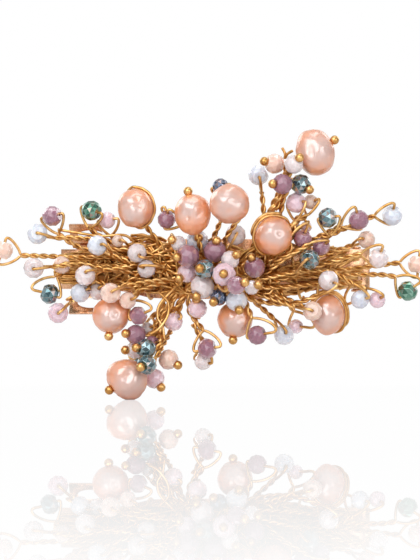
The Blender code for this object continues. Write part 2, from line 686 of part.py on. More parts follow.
def make_spray(spray, held):
    """One spray's wire: its core, the coil that binds it, and every stem, joined into one body."""
    blocks = [(p.centre, p.reach() + 0.12) for p in held]

    def core(shape):
        tube(shape, core_points(spray), CORE_RADIUS, 8)

    wire = add_object(f"{spray}_spray_wire", core, "gold")
    for piece in held:
        if piece.spray != spray:
            continue
        for part, maker in wires_of(piece, blocks):
            boolean(wire, helper(f"{piece.name}_{part}", maker), "UNION")
    if spray in COILS:
        coil = helper(f"{spray}_coil", lambda shape: tube(shape, coil_path(COILS[spray]), WIRE_RADIUS, 4))
        boolean(wire, coil, "UNION")


def main():
    clear_scene()
    make_plate()
    make_hinge_pin()
    make_arm()
    make_leaf()
    make_latch()
    held = all_held()
    for piece in held:
        if piece.name.startswith("pearl"):
            make_pearl(piece)
        else:
            make_bead(piece)
    for spray in CORES:
        make_spray(spray, held)


main()
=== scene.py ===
"""A barrette of wired pearls and glass beads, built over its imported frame.

Each CAD bead gives a place, and each CAD pearl a place and a size. The script puts a faceted bead or a baroque
pearl there, adds the smaller beads between them, and runs twisted wire from each one back to the plate of the
clip. Shapes are worked out in millimetres and made in metres. The settings, lights and camera are in metres.
"""

import json
import math
from functools import cached_property

import bmesh
import bpy
import numpy as np
from bpy.props import FloatProperty, FloatVectorProperty, IntProperty, PointerProperty
from mathutils import Matrix, Vector, noise


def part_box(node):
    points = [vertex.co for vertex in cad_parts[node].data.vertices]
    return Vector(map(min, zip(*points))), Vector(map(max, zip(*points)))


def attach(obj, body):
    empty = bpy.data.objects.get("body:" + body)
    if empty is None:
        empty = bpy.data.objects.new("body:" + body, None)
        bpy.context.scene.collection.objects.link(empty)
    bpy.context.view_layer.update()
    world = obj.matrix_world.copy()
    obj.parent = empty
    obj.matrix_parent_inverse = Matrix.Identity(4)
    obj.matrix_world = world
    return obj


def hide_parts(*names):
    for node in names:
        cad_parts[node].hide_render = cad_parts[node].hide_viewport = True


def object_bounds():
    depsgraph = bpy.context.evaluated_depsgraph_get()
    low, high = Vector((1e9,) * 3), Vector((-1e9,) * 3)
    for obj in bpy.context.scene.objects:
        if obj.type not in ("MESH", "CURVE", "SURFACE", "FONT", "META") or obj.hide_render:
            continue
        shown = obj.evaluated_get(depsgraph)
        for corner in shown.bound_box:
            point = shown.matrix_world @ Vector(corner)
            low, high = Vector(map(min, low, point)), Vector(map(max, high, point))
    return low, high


bl_info = {
    "name": "Barrette",
    "version": (1, 0, 0),
    "blender": (4, 5, 0),
    "location": "3D View > Sidebar > Barrette",
    "description": "Builds a wirework barrette of pearls and glass beads",
    "category": "Object",
}

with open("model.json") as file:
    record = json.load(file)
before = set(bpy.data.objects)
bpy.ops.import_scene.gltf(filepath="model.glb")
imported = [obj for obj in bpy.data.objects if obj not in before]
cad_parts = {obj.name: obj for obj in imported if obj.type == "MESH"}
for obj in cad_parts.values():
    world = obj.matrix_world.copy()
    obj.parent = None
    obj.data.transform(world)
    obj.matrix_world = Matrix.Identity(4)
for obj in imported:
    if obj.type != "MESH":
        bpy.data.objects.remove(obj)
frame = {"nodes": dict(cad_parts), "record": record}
LOADED_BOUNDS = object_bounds()

MM = 0.001
BASE = "clip_base"
CLIP_BODIES = {"clasp_arm": "clasp_arm", "upper_squeeze_tab": "upper_tab", "lower_squeeze_tab": "lower_tab"}
SPRAYS = ("left", "bottom", "centre", "top", "right")

# How a piece is held: by a loop through its hole and back, by a head pin with a ball on it, or by a peg in it
LOOP, PIN, PEG = "loop", "pin", "peg"

# Each CAD bead and pearl: the way its hole points, its hold, and for some loops a sweep. A head pin's ball is
# on the side the hole points to. A sweep is the x and z of the way from the bead to its loop's tip, and how
# far the wire swings out on the hole's near side and on its far side.
HOLES = {
    "left_bead_1_peach": ((0.3, 0.0, 0.95), LOOP, (1.0, 0.0, 1.8, 2.2)),
    "left_bead_2_mauve": ((0.85, -0.4, 0.2), LOOP, (0.3, -1.0, 1.6, 1.8)),
    "left_bead_3_blue": ((0.0, -1.0, 0.1), LOOP, (1.0, -0.25, 1.4, 1.0)),
    "left_bead_4_white": ((0.0, -1.0, -0.1), LOOP, (1.0, 0.1, 1.4, 1.0)),
    "left_bead_5_teal": ((0.95, 0.0, -0.35), LOOP, (0.25, 0.95, 1.2, 3.4)),
    "left_bead_6_pink": ((0.1, -1.0, 0.0), LOOP, (0.8, 0.7, 1.6, 1.0)),
    "left_bead_7_green": ((0.8, -0.5, -0.3), LOOP, (0.1, -1.0, 2.0, 1.8)),
    "left_bead_8_blue": ((0.5, -0.8, 0.1), LOOP, (0.9, -0.5, 1.6, 1.0)),
    "left_bead_9_white": ((0.1, -0.9, 0.4), LOOP, (0.9, 0.3, 1.2, 1.0)),
    "left_bead_10_peach": ((0.2, -1.0, 0.2), LOOP, (0.9, 0.4, 1.6, 1.0)),
    "bottom_bead_1_mauve": ((-0.9, -0.4, 0.1), PIN, None),
    "bottom_bead_2_teal": ((-0.9, -0.5, 0.1), PIN, None),
    "bottom_bead_3_teal": ((-0.5, -0.8, -0.2), PIN, None),
    "bottom_bead_4_peach": ((0.85, -0.2, -0.5), PIN, None),
    "bottom_bead_5_pink": ((0.6, -0.2, -0.8), PIN, None),
    "bottom_bead_6_mauve": ((0.95, -0.2, 0.2), LOOP, (-0.1, 1.0, 2.2, 2.0)),
    "centre_bead_1_mauve": ((-0.9, -0.4, -0.1), PIN, None),
    "centre_bead_2_blue": ((0.1, -1.0, 0.25), PIN, None),
    "centre_bead_3_mauve": ((0.1, -0.4, 0.8), PIN, None),
    "centre_bead_4_teal": ((-0.5, -0.9, 0.1), PIN, None),
    "centre_bead_5_pink": ((-0.05, -1.0, 0.05), PIN, None),
    "centre_bead_6_white": ((-0.5, -0.4, -0.8), PIN, None),
    "centre_bead_7_blue": ((0.2, -0.5, -0.8), PIN, None),
    "top_bead_1_peach": ((-0.9, -0.3, 0.2), PIN, None),
    "top_bead_2_blue": ((0.1, -0.9, -0.3), LOOP, (0.2, -1.0, 1.6, 1.2)),
    "top_bead_3_mauve": ((-0.9, -0.5, 0.0), PIN, None),
    "top_bead_4_teal": ((0.8, -0.4, -0.5), PIN, None),
    "right_bead_1_mauve": ((-0.3, -0.4, 0.9), PIN, None),
    "right_bead_2_teal": ((-0.2, -1.0, 0.0), LOOP, (-0.8, -0.7, 2.4, 1.0)),
    "right_bead_3_teal": ((0.9, -0.2, 0.1), LOOP, (-0.35, -0.95, 1.6, 1.0)),
    "right_bead_4_mauve": ((-0.3, -0.3, 0.9), LOOP, (-0.7, -0.8, 2.2, 0.9)),
    "right_bead_5_white": ((0.6, -0.7, -0.3), LOOP, (-0.7, -0.5, 2.0, 1.0)),
    "right_bead_6_blue": ((0.1, -0.5, 0.85), LOOP, (-0.85, -0.55, 2.2, 1.0)),
    "right_bead_7_white": ((0.2, -0.5, 0.8), LOOP, (-1.0, -0.1, 2.4, 1.0)),
    "right_bead_8_peach": ((0.1, 0.0, 1.0), LOOP, (-1.0, 0.0, 2.0, 1.9)),
    "right_bead_9_green": ((0.7, -0.2, 0.6), LOOP, (-0.85, 0.5, 2.8, 1.2)),
    "right_bead_10_blue": ((0.2, -0.9, 0.3), LOOP, (-0.5, 0.85, 1.4, 1.0)),
    "pearl_upper_left": ((-0.2, -0.1, 1.0), LOOP, None),
    "pearl_lower_left": ((-0.1, -0.2, -1.0), PIN, None),
    "pearl_bottom": ((-0.8, -0.2, -0.5), PIN, None),
    "pearl_upper_centre": ((-0.2, -0.1, 1.0), PIN, None),
    "pearl_upper_middle": ((-0.45, -0.7, 0.6), PEG, None),
    "pearl_lower_centre": ((-0.1, -0.1, -1.0), PIN, None),
    "pearl_top": ((0.8, -0.1, 0.5), PIN, None),
    "pearl_upper_right": ((-0.3, -0.5, 0.9), LOOP, None),
    "pearl_lower_right": ((0.9, 0.2, -0.3), LOOP, None),
}

# A bead's half sizes, with its hole along Z, the half thickness of a small one as a share of its width, and
# the radius of the hole
BEAD_HALF = Vector((2.1, 2.1, 1.62))
SMALL_THICKNESS = 0.39
BORE = 0.36

# Beads that are larger than their fellows, and by how much
LARGER = {
    "centre_bead_1_mauve": 1.14,
    "centre_bead_2_blue": 1.08,
    "centre_bead_3_mauve": 1.12,
    "centre_bead_5_pink": 1.14,
    "centre_bead_6_white": 1.18,
    "centre_bead_7_blue": 1.06,
    "right_bead_1_mauve": 1.04,
}

# Half widths and half heights of the pearls whose long way is not their hole's
OVALS = {
    "pearl_top": (4.05, 4.75),
    "pearl_bottom": (4.1, 4.15),
    "pearl_lower_right": (3.35, 3.95),
}

# Wire laid round a looped pearl: from and to, in degrees about Y from +X, and how far off the pearl
RINGS = {
    "pearl_upper_left": [(98, -70, 0.28)],
    "pearl_upper_right": [(52, 236, 0.3), (76, 170, 0.8)],
    "pearl_lower_right": [(158, -48, 0.28), (140, -20, 0.75)],
}

PEARL_SPRAYS = {
    "pearl_upper_left": "left", "pearl_lower_left": "left", "pearl_bottom": "bottom",
    "pearl_upper_centre": "centre", "pearl_upper_middle": "centre", "pearl_lower_centre": "centre",
    "pearl_top": "top", "pearl_upper_right": "right", "pearl_lower_right": "right",
}  # fmt: skip

# The smaller beads: the CAD bead each one sits by, its offset from it, colour, width, way of its hole, hold,
# and for some loops a sweep
SMALL = [
    ("left_bead_4_white", (5.6, 1.0, 0.6), "peach", 3.6, (0.3, -0.9, 0.2), LOOP),
    ("left_bead_7_green", (3.1, 1.5, -1.9), "pink", 3.5, (0.9, -0.3, 0.1), LOOP),
    ("left_bead_9_white", (-1.1, 2.5, -3.5), "blue", 4.0, (0.8, -0.3, 0.4), LOOP, (1.0, 0.4, 1.2, 2.6)),
    ("left_bead_9_white", (2.4, 3.5, -3.2), "white", 3.6, (0.2, -0.8, 0.4), LOOP),
    ("left_bead_10_peach", (3.4, 1.0, -1.5), "peach", 3.5, (0.6, -0.8, 0.2), LOOP),
    ("left_bead_10_peach", (5.5, 2.5, -4.5), "mauve", 3.8, (0.9, -0.2, 0.5), LOOP, (0.3, 1.0, 2.6, 1.0)),
    ("left_bead_8_blue", (4.0, 2.5, 0.9), "peach", 2.6, (0.5, -0.8, 0.1), LOOP),
    ("left_bead_8_blue", (7.9, 0.5, -1.5), "white", 4.0, (0.3, -0.9, -0.3), LOOP, (1.0, -0.2, 2.2, 1.0)),
    ("left_bead_8_blue", (9.8, 0.5, -4.7), "white", 3.8, (-0.4, -0.9, 0.2), LOOP, (1.0, 0.0, 2.6, 1.0)),
    ("bottom_bead_1_mauve", (2.2, 2.5, 1.1), "white", 2.8, (0.6, -0.6, 0.3), LOOP),
    ("bottom_bead_2_teal", (-2.3, 2.0, -0.3), "white", 3.6, (-0.9, -0.4, 0.0), PIN),
    ("bottom_bead_2_teal", (-1.3, 2.0, -1.5), "teal", 3.0, (-0.8, -0.6, 0.0), PIN),
    ("bottom_bead_2_teal", (1.2, 3.0, 1.1), "mauve", 3.0, (0.7, -0.6, 0.2), LOOP),
    ("bottom_bead_4_peach", (1.0, 1.0, 7.5), "pink", 3.8, (0.7, -0.5, 0.4), LOOP),
    ("bottom_bead_6_mauve", (-1.9, 0.5, 8.0), "pink", 4.0, (-0.1, -0.5, 0.9), PIN),
    ("bottom_bead_6_mauve", (-0.8, 1.0, -2.6), "white", 3.6, (0.8, -0.4, -0.2), LOOP, (-0.5, 1.0, 1.2, 1.2)),
    ("centre_bead_7_blue", (4.1, 1.0, -6.9), "mauve", 4.0, (0.9, -0.3, 0.3), LOOP, (-0.4, 1.0, 3.8, 1.2)),
    ("centre_bead_7_blue", (-3.6, 1.0, 0.7), "navy", 3.6, (-0.5, -0.7, -0.5), PIN),
    ("centre_bead_1_mauve", (-0.2, 0.5, -3.4), "pink", 4.0, (-0.7, -0.5, -0.5), PIN),
    ("centre_bead_1_mauve", (-1.9, 2.0, 2.5), "white", 3.2, (-0.7, -0.6, 0.4), PIN),
    ("centre_bead_5_pink", (1.2, 1.0, 2.9), "white", 3.8, (0.6, -0.6, 0.5), PIN),
    ("centre_bead_5_pink", (2.4, 1.0, -2.2), "mauve", 3.8, (0.8, -0.5, 0.3), PIN),
    ("centre_bead_5_pink", (5.5, 2.5, -2.6), "white", 3.0, (0.7, -0.6, 0.3), PIN),
    ("centre_bead_3_mauve", (4.1, 2.0, 3.3), "white", 4.2, (0.1, -1.0, 0.1), LOOP),
    ("centre_bead_2_blue", (-6.2, 1.0, 4.3), "mauve", 3.7, (0.2, -0.4, 0.9), LOOP),
    ("pearl_upper_middle", (-1.8, 3.5, 3.5), "navy", 3.4, (0.9, -0.3, 0.2), LOOP),
    ("top_bead_4_teal", (-1.4, -2.0, 3.9), "white", 3.9, (0.5, -0.6, 0.6), PIN),
    ("top_bead_4_teal", (-0.9, 1.0, -3.7), "pink", 4.2, (0.8, -0.6, 0.1), LOOP),
    ("top_bead_4_teal", (2.0, 2.0, -3.5), "peach", 3.1, (0.7, -0.6, 0.2), LOOP),
    ("right_bead_2_teal", (-1.3, 1.5, 4.1), "mauve", 3.8, (0.2, -0.5, 0.8), LOOP, (-0.6, -0.7, 3.4, 1.0)),
    ("right_bead_2_teal", (2.4, 2.5, 2.5), "mauve", 3.6, (0.6, -0.5, 0.5), LOOP),
    ("right_bead_2_teal", (-2.8, 3.0, 6.5), "white", 2.2, (0.2, -0.8, 0.5), LOOP),
    ("right_bead_2_teal", (-0.6, 4.0, 6.5), "pink", 2.4, (0.2, -0.8, 0.5), LOOP),
    ("right_bead_4_mauve", (1.6, 1.5, -3.9), "peach", 3.6, (-0.5, -0.8, 0.1), LOOP, (-1.0, -0.3, 1.6, 1.0)),
    ("right_bead_5_white", (6.3, 1.5, -3.8), "blue", 3.8, (0.8, -0.5, 0.2), LOOP, (-0.9, 0.6, 1.4, 3.0)),
    ("right_bead_5_white", (9.8, 2.5, -3.9), "pink", 3.4, (0.5, -0.8, 0.4), LOOP, (-1.0, 0.7, 1.8, 1.0)),
    ("right_bead_5_white", (-3.2, -1.0, -6.1), "peach", 4.0, (-0.1, -1.0, 0.1), LOOP, (-1.0, 0.25, 1.6, 1.0)),
    ("right_bead_10_blue", (2.4, 1.5, 1.7), "pink", 3.0, (0.8, -0.5, 0.1), LOOP, (-0.3, 1.0, 4.4, 1.0)),
]

# Where each spray's wires run together in front of the plate, and the way they come in from, where it is
# one way
ROOTS = {
    "left": (Vector((-9.5, 0, 0.4)), None),
    "bottom": (Vector((-6.9, 0, -2.6)), Vector((-0.42, 0, -1.0))),
    "centre": (Vector((0.5, 0, 0.5)), None),
    "top": (Vector((6.5, 0, 0.2)), Vector((0.3, 0, 1.0))),
    "right": (Vector((5.0, 0, -3.2)), None),
}

# Where along the plate a turn of wire binds the rest to it
BINDINGS = (-17.5, -13.0, -9.6, 9.0, 13.0)

# Single wires that stand away from the rest
STRAYS = [
    [(-7.6, -8.6, -3.4), (-9.6, -9.6, -5.2), (-11.3, -10.0, -7.4), (-11.6, -10.2, -9.6),
     (-10.6, -10.6, -11.4), (-10.2, -10.8, -14.0)],
    [(-11.4, -9.0, -4.6), (-9.4, -10.6, -6.8), (-9.6, -11.6, -9.4), (-11.2, -12.0, -11.8),
     (-13.0, -12.4, -13.0)],
    [(13.8, -10.2, 22.0), (13.9, -10.4, 23.0), (13.3, -10.6, 24.2)],
    [(14.0, -10.0, 22.2), (14.4, -10.4, 23.0), (15.4, -10.9, 23.6)],
    [(-31.6, -7.0, 7.9), (-27.4, -7.4, 7.2), (-23.0, -7.6, 6.6), (-18.4, -7.4, 6.8), (-16.4, -6.6, 5.6)],
    [(-10.4, -8.6, 11.2), (-10.8, -8.7, 12.1), (-10.2, -8.8, 12.4), (-9.9, -8.9, 11.6)],
    [(19.0, -10.0, 8.2), (17.6, -10.4, 10.0), (16.2, -10.2, 10.4), (15.6, -9.6, 8.6)],
]  # fmt: skip


def length_setting(label, about, value):
    return FloatProperty(name=label, description=about, default=value, unit="LENGTH")


def count_setting(label, about, value, least):
    return IntProperty(name=label, description=about, default=value, min=least)


def colour_setting(label, about, value):
    return FloatVectorProperty(
        name=label, description=about, default=value, size=3, subtype="COLOR", min=0, max=1
    )


class WireSettings(bpy.types.PropertyGroup):
    """Sizes of the wire, and how much of it there is."""

    strand: length_setting("Strand radius", "Radius of one strand", 0.00029)
    pitch: length_setting("Twist pitch", "Length of one full twist", 0.0038)
    ball: length_setting("Ball radius", "Radius of a head pin's ball", 0.00092)
    tangle: count_setting("Tangle wires", "Wires that run along the plate", 100, 0)
    arcs: count_setting("Stray arcs", "Single wires bowed out of the tangle", 46, 0)


class BeadSettings(bpy.types.PropertyGroup):
    """Shape of the beads and pearls."""

    facets: count_setting("Facets", "Facets round a bead's girdle", 10, 6)
    table: FloatProperty(
        name="Table",
        description="Width of a bead's flat end as a share of its width",
        default=0.6,
        subtype="FACTOR",
    )
    detail: IntProperty(
        name="Pearl detail", description="Subdivisions of a pearl's surface", default=5, min=2, max=6
    )


class ColourSettings(bpy.types.PropertyGroup):
    """Colours of the metal, the pearls and the glass."""

    gold: colour_setting("Wire gold", "Colour of the wire and the pins' balls", (0.89, 0.56, 0.23))
    clip: colour_setting("Clip gold", "Colour of the clip", (0.84, 0.53, 0.34))
    leaf: colour_setting("Leaf gold", "Colour of the clip's spring", (0.80, 0.66, 0.48))
    # The pearl's two colours are painted light and shade: the pale one on its front, where the light falls,
    # and the deeper one at its sides and in its dents
    pearl: colour_setting("Pearl", "A pearl's palest skin", (0.61, 0.39, 0.33))
    blush: colour_setting("Pearl blush", "A pearl's deepest colour", (0.82, 0.27, 0.08))
    peach: colour_setting("Peach", "Milky peach glass", (0.96, 0.66, 0.56))
    mauve: colour_setting("Mauve", "Mauve glass", (0.38, 0.19, 0.255))
    pink: colour_setting("Pink", "Milky pink glass", (0.90, 0.66, 0.74))
    blue: colour_setting("Blue", "Milky blue glass", (0.74, 0.78, 0.89))
    white: colour_setting("White", "Milky white glass", (0.84, 0.74, 0.75))
    teal: colour_setting("Teal", "Coated teal crystal", (0.10, 0.21, 0.24))
    green: colour_setting("Green", "Coated green crystal", (0.03, 0.20, 0.12))
    navy: colour_setting("Navy", "Coated dark blue crystal", (0.08, 0.12, 0.22))


class StageSettings(bpy.types.PropertyGroup):
    """Camera and floor."""

    distance: length_setting("Camera distance", "Camera to the beads", 1.0)
    height: length_setting("View height", "Height of the view at the beads", 0.112)
    shine: FloatProperty(
        name="Floor shine", description="How strongly the floor mirrors", default=0.31, subtype="FACTOR"
    )


class BarretteSettings(bpy.types.PropertyGroup):
    """All the settings."""

    wire: PointerProperty(type=WireSettings)
    beads: PointerProperty(type=BeadSettings)
    colours: PointerProperty(type=ColourSettings)
    stage: PointerProperty(type=StageSettings)


def settings():
    """The scene's own settings."""
    return bpy.context.scene.barrette


# ---------------------------------------------------------------- nodes


class Socket:
    """A node's output. Arithmetic on it adds Math nodes, and node() adds any other node to its tree."""

    def __init__(self, tree, out=None):
        self.tree, self.out = tree, out

    def node(self, kind, inputs=None, output=0, **settings):
        """A new node's output. Its settings are set first, and then the values or links of its sockets."""
        made = self.tree.nodes.new(kind)
        for key, value in settings.items():
            setattr(made, key, value)
        for key, value in (inputs or {}).items():
            if isinstance(value, Socket):
                self.tree.links.new(value.out, made.inputs[key])
            else:
                made.inputs[key].default_value = value
        return Socket(self.tree, made.outputs[output] if len(made.outputs) else None)

    def math(self, operation, *others):
        return self.node("ShaderNodeMath", dict(enumerate((self, *others))), operation=operation)

    def vector(self, operation, *others, **named):
        inputs = {**dict(enumerate((self, *others))), **named}
        return self.node("ShaderNodeVectorMath", inputs, operation=operation)

    def beside(self, output):
        """Another output of the same node."""
        return Socket(self.tree, self.out.node.outputs[output])

    def reflected(self, operation, other):
        return self.node("ShaderNodeMath", {0: other, 1: self}, operation=operation)

    def __add__(self, other):
        return self.math("ADD", other)

    def __radd__(self, other):
        return self.reflected("ADD", other)

    def __sub__(self, other):
        return self.math("SUBTRACT", other)

    def __rsub__(self, other):
        return self.reflected("SUBTRACT", other)

    def __mul__(self, other):
        return self.math("MULTIPLY", other)

    def __rmul__(self, other):
        return self.reflected("MULTIPLY", other)

    def __truediv__(self, other):
        return self.math("DIVIDE", other)

    def __rtruediv__(self, other):
        return self.reflected("DIVIDE", other)


def blend_colours(factor, first, second):
    """A colour between two, each a socket or (r, g, b)."""
    ends = [value if isinstance(value, Socket) else (*value, 1.0) for value in (first, second)]
    return factor.node("ShaderNodeMix", {0: factor, 6: ends[0], 7: ends[1]}, 2, data_type="RGBA")


def ramp(value, low, high):
    """0 below low, 1 above high, and smooth between."""
    inputs = {"Value": value, "From Min": low, "From Max": high}
    return value.node("ShaderNodeMapRange", inputs, interpolation_type="SMOOTHSTEP")


def new_material(name, **values):
    """A Principled material with these values set on its inputs."""
    made = bpy.data.materials.new(name)
    made.use_nodes = True
    inputs = made.node_tree.nodes["Principled BSDF"].inputs
    for key, value in values.items():
        target = inputs[key.replace("_", " ")]
        target.default_value = (*value, 1.0) if target.type == "RGBA" else value
    return made


def drive(material, **sockets):
    """Links what varies over a surface into the material's Principled inputs."""
    shader = material.node_tree.nodes["Principled BSDF"]
    for key, socket in sockets.items():
        material.node_tree.links.new(socket.out, shader.inputs[key.replace("_", " ")])


def object_coordinates(material):
    return Socket(material.node_tree).node("ShaderNodeTexCoord", output="Object")


def attribute_of(material, name):
    return Socket(material.node_tree).node("ShaderNodeAttribute", output="Fac", attribute_name=name)


def noise_of(coordinates, scale, detail, roughness=0.5):
    inputs = {"Vector": coordinates, "Scale": scale, "Detail": detail, "Roughness": roughness}
    return coordinates.node("ShaderNodeTexNoise", inputs)


def bump_of(height, strength, distance):
    return height.node("ShaderNodeBump", {"Height": height, "Strength": strength, "Distance": distance})


def gold_material(name, light, shade, roughness):
    """Satin metal with darker patches, which are the light colour times the shade."""
    light = tuple(light)
    dark = tuple(c * share for c, share in zip(light, shade))
    made = new_material(name, Metallic=1.0, Roughness=roughness, Base_Color=light)
    place = object_coordinates(made)
    patches = ramp(noise_of(place, scale=420.0, detail=4.0, roughness=0.6), low=0.38, high=0.66)
    grain = noise_of(place, scale=2600.0, detail=2.0)
    drive(
        made,
        Base_Color=blend_colours(patches, dark, light),
        Roughness=grain * 0.12 + (roughness - 0.05),
        Normal=bump_of(grain, strength=0.12, distance=0.00002),
    )
    return made


def pearl_material(name, pale, deep):
    """Nacre under a broad bright skin, with random clouds of its own: its warm body is painted pale on its
    front, where the light falls, as painted light, and deeper at its sides and in its dents as painted shade.
    """
    made = new_material(
        name,
        Roughness=0.42,
        IOR=1.8,
        Specular_Tint=(1.0, 0.95, 0.97),
        Coat_Weight=1.0,
        Coat_Roughness=0.22,
        Coat_IOR=2.3,
        Subsurface_Weight=0.2,
        Subsurface_Scale=0.0012,
        Subsurface_Radius=(1.0, 0.55, 0.35),
    )
    place = object_coordinates(made)
    cloud = noise_of(place, scale=260.0, detail=3.0, roughness=0.55)
    # Painted light and shade from the vertices' value: pale front as painted light, deeper sides and dents as
    # painted shade, wobbled by random clouds
    depth = ramp(attribute_of(made, "blush") + (cloud - 0.5) * 0.4, low=0.0, high=1.0)
    skin = noise_of(place, scale=330.0, detail=2.0, roughness=0.4)
    drive(
        made,
        Base_Color=blend_colours(depth, tuple(pale), tuple(deep)),
        Normal=bump_of(skin, strength=0.5, distance=0.0004),
    )
    return made


def opal_material(name, body):
    """Milky glass with polished facets, each painted a little lighter or darker than the next as painted
    light, and the narrow faces between them painted bright as painted highlight, under a random milky cloud.
    """
    made = new_material(
        name,
        Roughness=0.16,
        IOR=1.52,
        Transmission_Weight=0.2,
        Subsurface_Weight=0.7,
        Subsurface_Scale=0.0016,
        Subsurface_Radius=(1.0, 0.85, 0.8),
        Coat_Weight=0.5,
        Coat_Roughness=0.04,
    )
    milk = noise_of(object_coordinates(made), scale=500.0, detail=2.0)
    dark, light = (tuple(min(1.0, c * share) for c in body) for share in (0.9, 1.1))
    # Painted light: each facet lighter or darker at random, the narrow faces brighter as painted highlight,
    # over random milk
    shade = ramp(attribute_of(made, "facet") * 0.8 + milk * 0.3, low=0.1, high=1.0)
    drive(made, Base_Color=blend_colours(shade, dark, light))
    return made


def crystal_material(name, mid):
    """Dark crystal under an iridescent metal coat: each facet is painted between a shaded dark and a lit
    bright copy of the colour as painted light, the narrow faces between facets take painted highlight, and a
    few turn rosy.
    """
    mid = tuple(mid)
    # Shaded and lit copies of the colour, painted facet by facet as painted light
    dark, bright = tuple(c / 3 for c in mid), tuple(c * 1.2 + 0.22 for c in mid)
    rose = (0.55, 0.36, 0.30)
    made = new_material(
        name, Base_Color=mid, Metallic=0.75, Roughness=0.1, Coat_Weight=1.0, Coat_Roughness=0.03
    )
    tint = attribute_of(made, "facet")
    lower = blend_colours(ramp(tint, low=0.0, high=0.5), dark, mid)
    cool = blend_colours(ramp(tint, low=0.5, high=1.0), lower, bright)
    rosy = ramp((tint * 7.3).math("FRACT"), low=0.72, high=0.9) * 0.6
    drive(made, Base_Color=blend_colours(rosy, cool, rose))
    return made


def make_materials(colours):
    """The object's finishes, by the colour of the piece that takes them."""
    made = {
        "gold": gold_material("wire_gold", colours.gold, shade=(0.66, 0.54, 0.38), roughness=0.29),
        "clip_gold": gold_material("clip_rose_gold", colours.clip, shade=(0.85, 0.72, 0.62), roughness=0.25),
        "spring_steel": gold_material("leaf_gold", colours.leaf, shade=(0.85, 0.82, 0.8), roughness=0.3),
        "pearl": pearl_material("pearl_peach", colours.pearl, colours.blush),
    }
    for name in ("peach", "mauve", "pink", "blue", "white"):
        made[name] = opal_material(f"opal_{name}", getattr(colours, name))
    for name in ("teal", "green", "navy"):
        made[name] = crystal_material(f"crystal_{name}", getattr(colours, name))
    return made


# ---------------------------------------------------------------- the frame's beads


class Held:
    """A bead or a pearl: its centre, half sizes, the way of its hole, and how its wire holds it."""

    def __init__(self, name, spray, centre, half, axis, hold, sweep, colour, node=None):
        self.name, self.spray, self.centre, self.half = name, spray, centre, half
        self.axis, self.hold, self.sweep = Vector(axis).normalized(), hold, sweep
        self.colour, self.node = colour, node
        self.radius = max(half.x, half.z)

    def is_pearl(self):
        return self.colour == "pearl"

    def reach(self, way=None):
        """How far its surface is from its centre, this way or at most."""
        if not self.is_pearl():
            return self.half.x if way is None or abs(way.dot(self.axis)) < 0.5 else self.half.z
        if way is None:
            return self.radius
        return SKIN * Vector(a * b for a, b in zip(way, self.half)).length * pearl_swell(self.name, way)


def read_frame():
    """The CAD's beads and pearls."""
    found = []
    for entry in frame["record"]["subparts"]:
        node, colour = entry["node"], entry["material_slot"]
        if node not in HOLES:
            continue
        low, high = (Vector(corner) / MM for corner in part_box(node))
        axis, hold, sweep = HOLES[node]
        spray = PEARL_SPRAYS.get(node) or node.split("_")[0]
        half = (high - low) / 2 if colour == "pearl" else BEAD_HALF * LARGER.get(node, 1.0)
        if node in OVALS:
            half.x, half.z = OVALS[node]
        found.append(Held(node, spray, (low + high) / 2, half, axis, hold, sweep, colour, node))
    return found


def free_spot(centre, reach, others, step=0.25, tries=60, nesting=0.9):
    """The place nearest to centre, along Y, that clears the plate and lets the others nest against it."""
    for number in range(tries):
        for way in (1, -1):
            spot = centre + Vector((0, way * number * step, 0))
            behind = spot.y + reach > plate_front(spot.x) - 1.0 and abs(spot.z) < 8.0
            near = [o for o in others if (o.centre - spot).length < (o.reach() + reach) * nesting]
            if not near and not behind:
                return spot
    return centre


def all_beads():
    """The CAD's beads and pearls, and the smaller beads between them."""
    found = read_frame()
    by_name = {piece.name: piece for piece in found}
    for number, (by, offset, colour, width, axis, hold, *sweep) in enumerate(SMALL, 1):
        near = by_name[by]
        half = Vector((width / 2, width / 2, width * SMALL_THICKNESS))
        spot = free_spot(near.centre + Vector(offset), width / 2, found)
        name = f"{near.spray}_small_bead_{number}_{colour}"
        found.append(Held(name, near.spray, spot, half, axis, hold, sweep[0] if sweep else None, colour))
    return found


PLATE_LOW, PLATE_HIGH = (Vector(corner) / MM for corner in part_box("base_plate"))
PLATE_HALF = (PLATE_HIGH.x - PLATE_LOW.x) / 2
PLATE_RISE = 5.0  # how far the plate's ends lie behind its middle


def plate_front(x):
    """Y of the arched plate's front face."""
    radius = (PLATE_HALF**2 + PLATE_RISE**2) / (2 * PLATE_RISE)
    inside = max(-PLATE_HALF, min(PLATE_HALF, x))
    return PLATE_LOW.y + radius - math.sqrt(radius**2 - inside**2)


# ---------------------------------------------------------------- meshes


def finish_piece(made, material, nodes=(), body=BASE):
    """Gives a piece its material and the body it rides on, and hides the CAD nodes it stands for."""
    made.data.materials.clear()
    made.data.materials.append(material)
    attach(made, body)
    if nodes:
        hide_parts(*nodes)


def mesh_object(name, shape, smooth=False):
    """An object at the origin from a bmesh in millimetres."""
    bmesh.ops.recalc_face_normals(shape, faces=shape.faces)
    bmesh.ops.scale(shape, vec=(MM, MM, MM), verts=shape.verts)
    mesh = bpy.data.meshes.new(name)
    shape.to_mesh(mesh)
    shape.free()
    if smooth:
        mesh.shade_smooth()
    made = bpy.data.objects.new(name, mesh)
    bpy.context.scene.collection.objects.link(made)
    return made


def placed(axis, centre, spin):
    """The matrix that takes a shape with its hole along Z to its place, turned about its hole."""
    turn = Vector((0, 0, 1)).rotation_difference(axis).to_matrix().to_4x4()
    return Matrix.Translation(centre) @ turn @ Matrix.Rotation(spin, 4, "Z")


def facet_band(shape, low, high, low_turned, high_turned):
    """Faces between two rings of corners: squares, or triangles where one ring is turned by half a facet."""
    count = len(low)
    for i in range(count):
        j = (i + 1) % count
        if low_turned == high_turned:
            shape.faces.new((low[i], low[j], high[j], high[i]))
        elif high_turned:
            shape.faces.new((low[i], low[j], high[i]))
            shape.faces.new((low[j], high[j], high[i]))
        else:
            shape.faces.new((low[i], high[j], high[i]))
            shape.faces.new((low[i], low[j], high[j]))


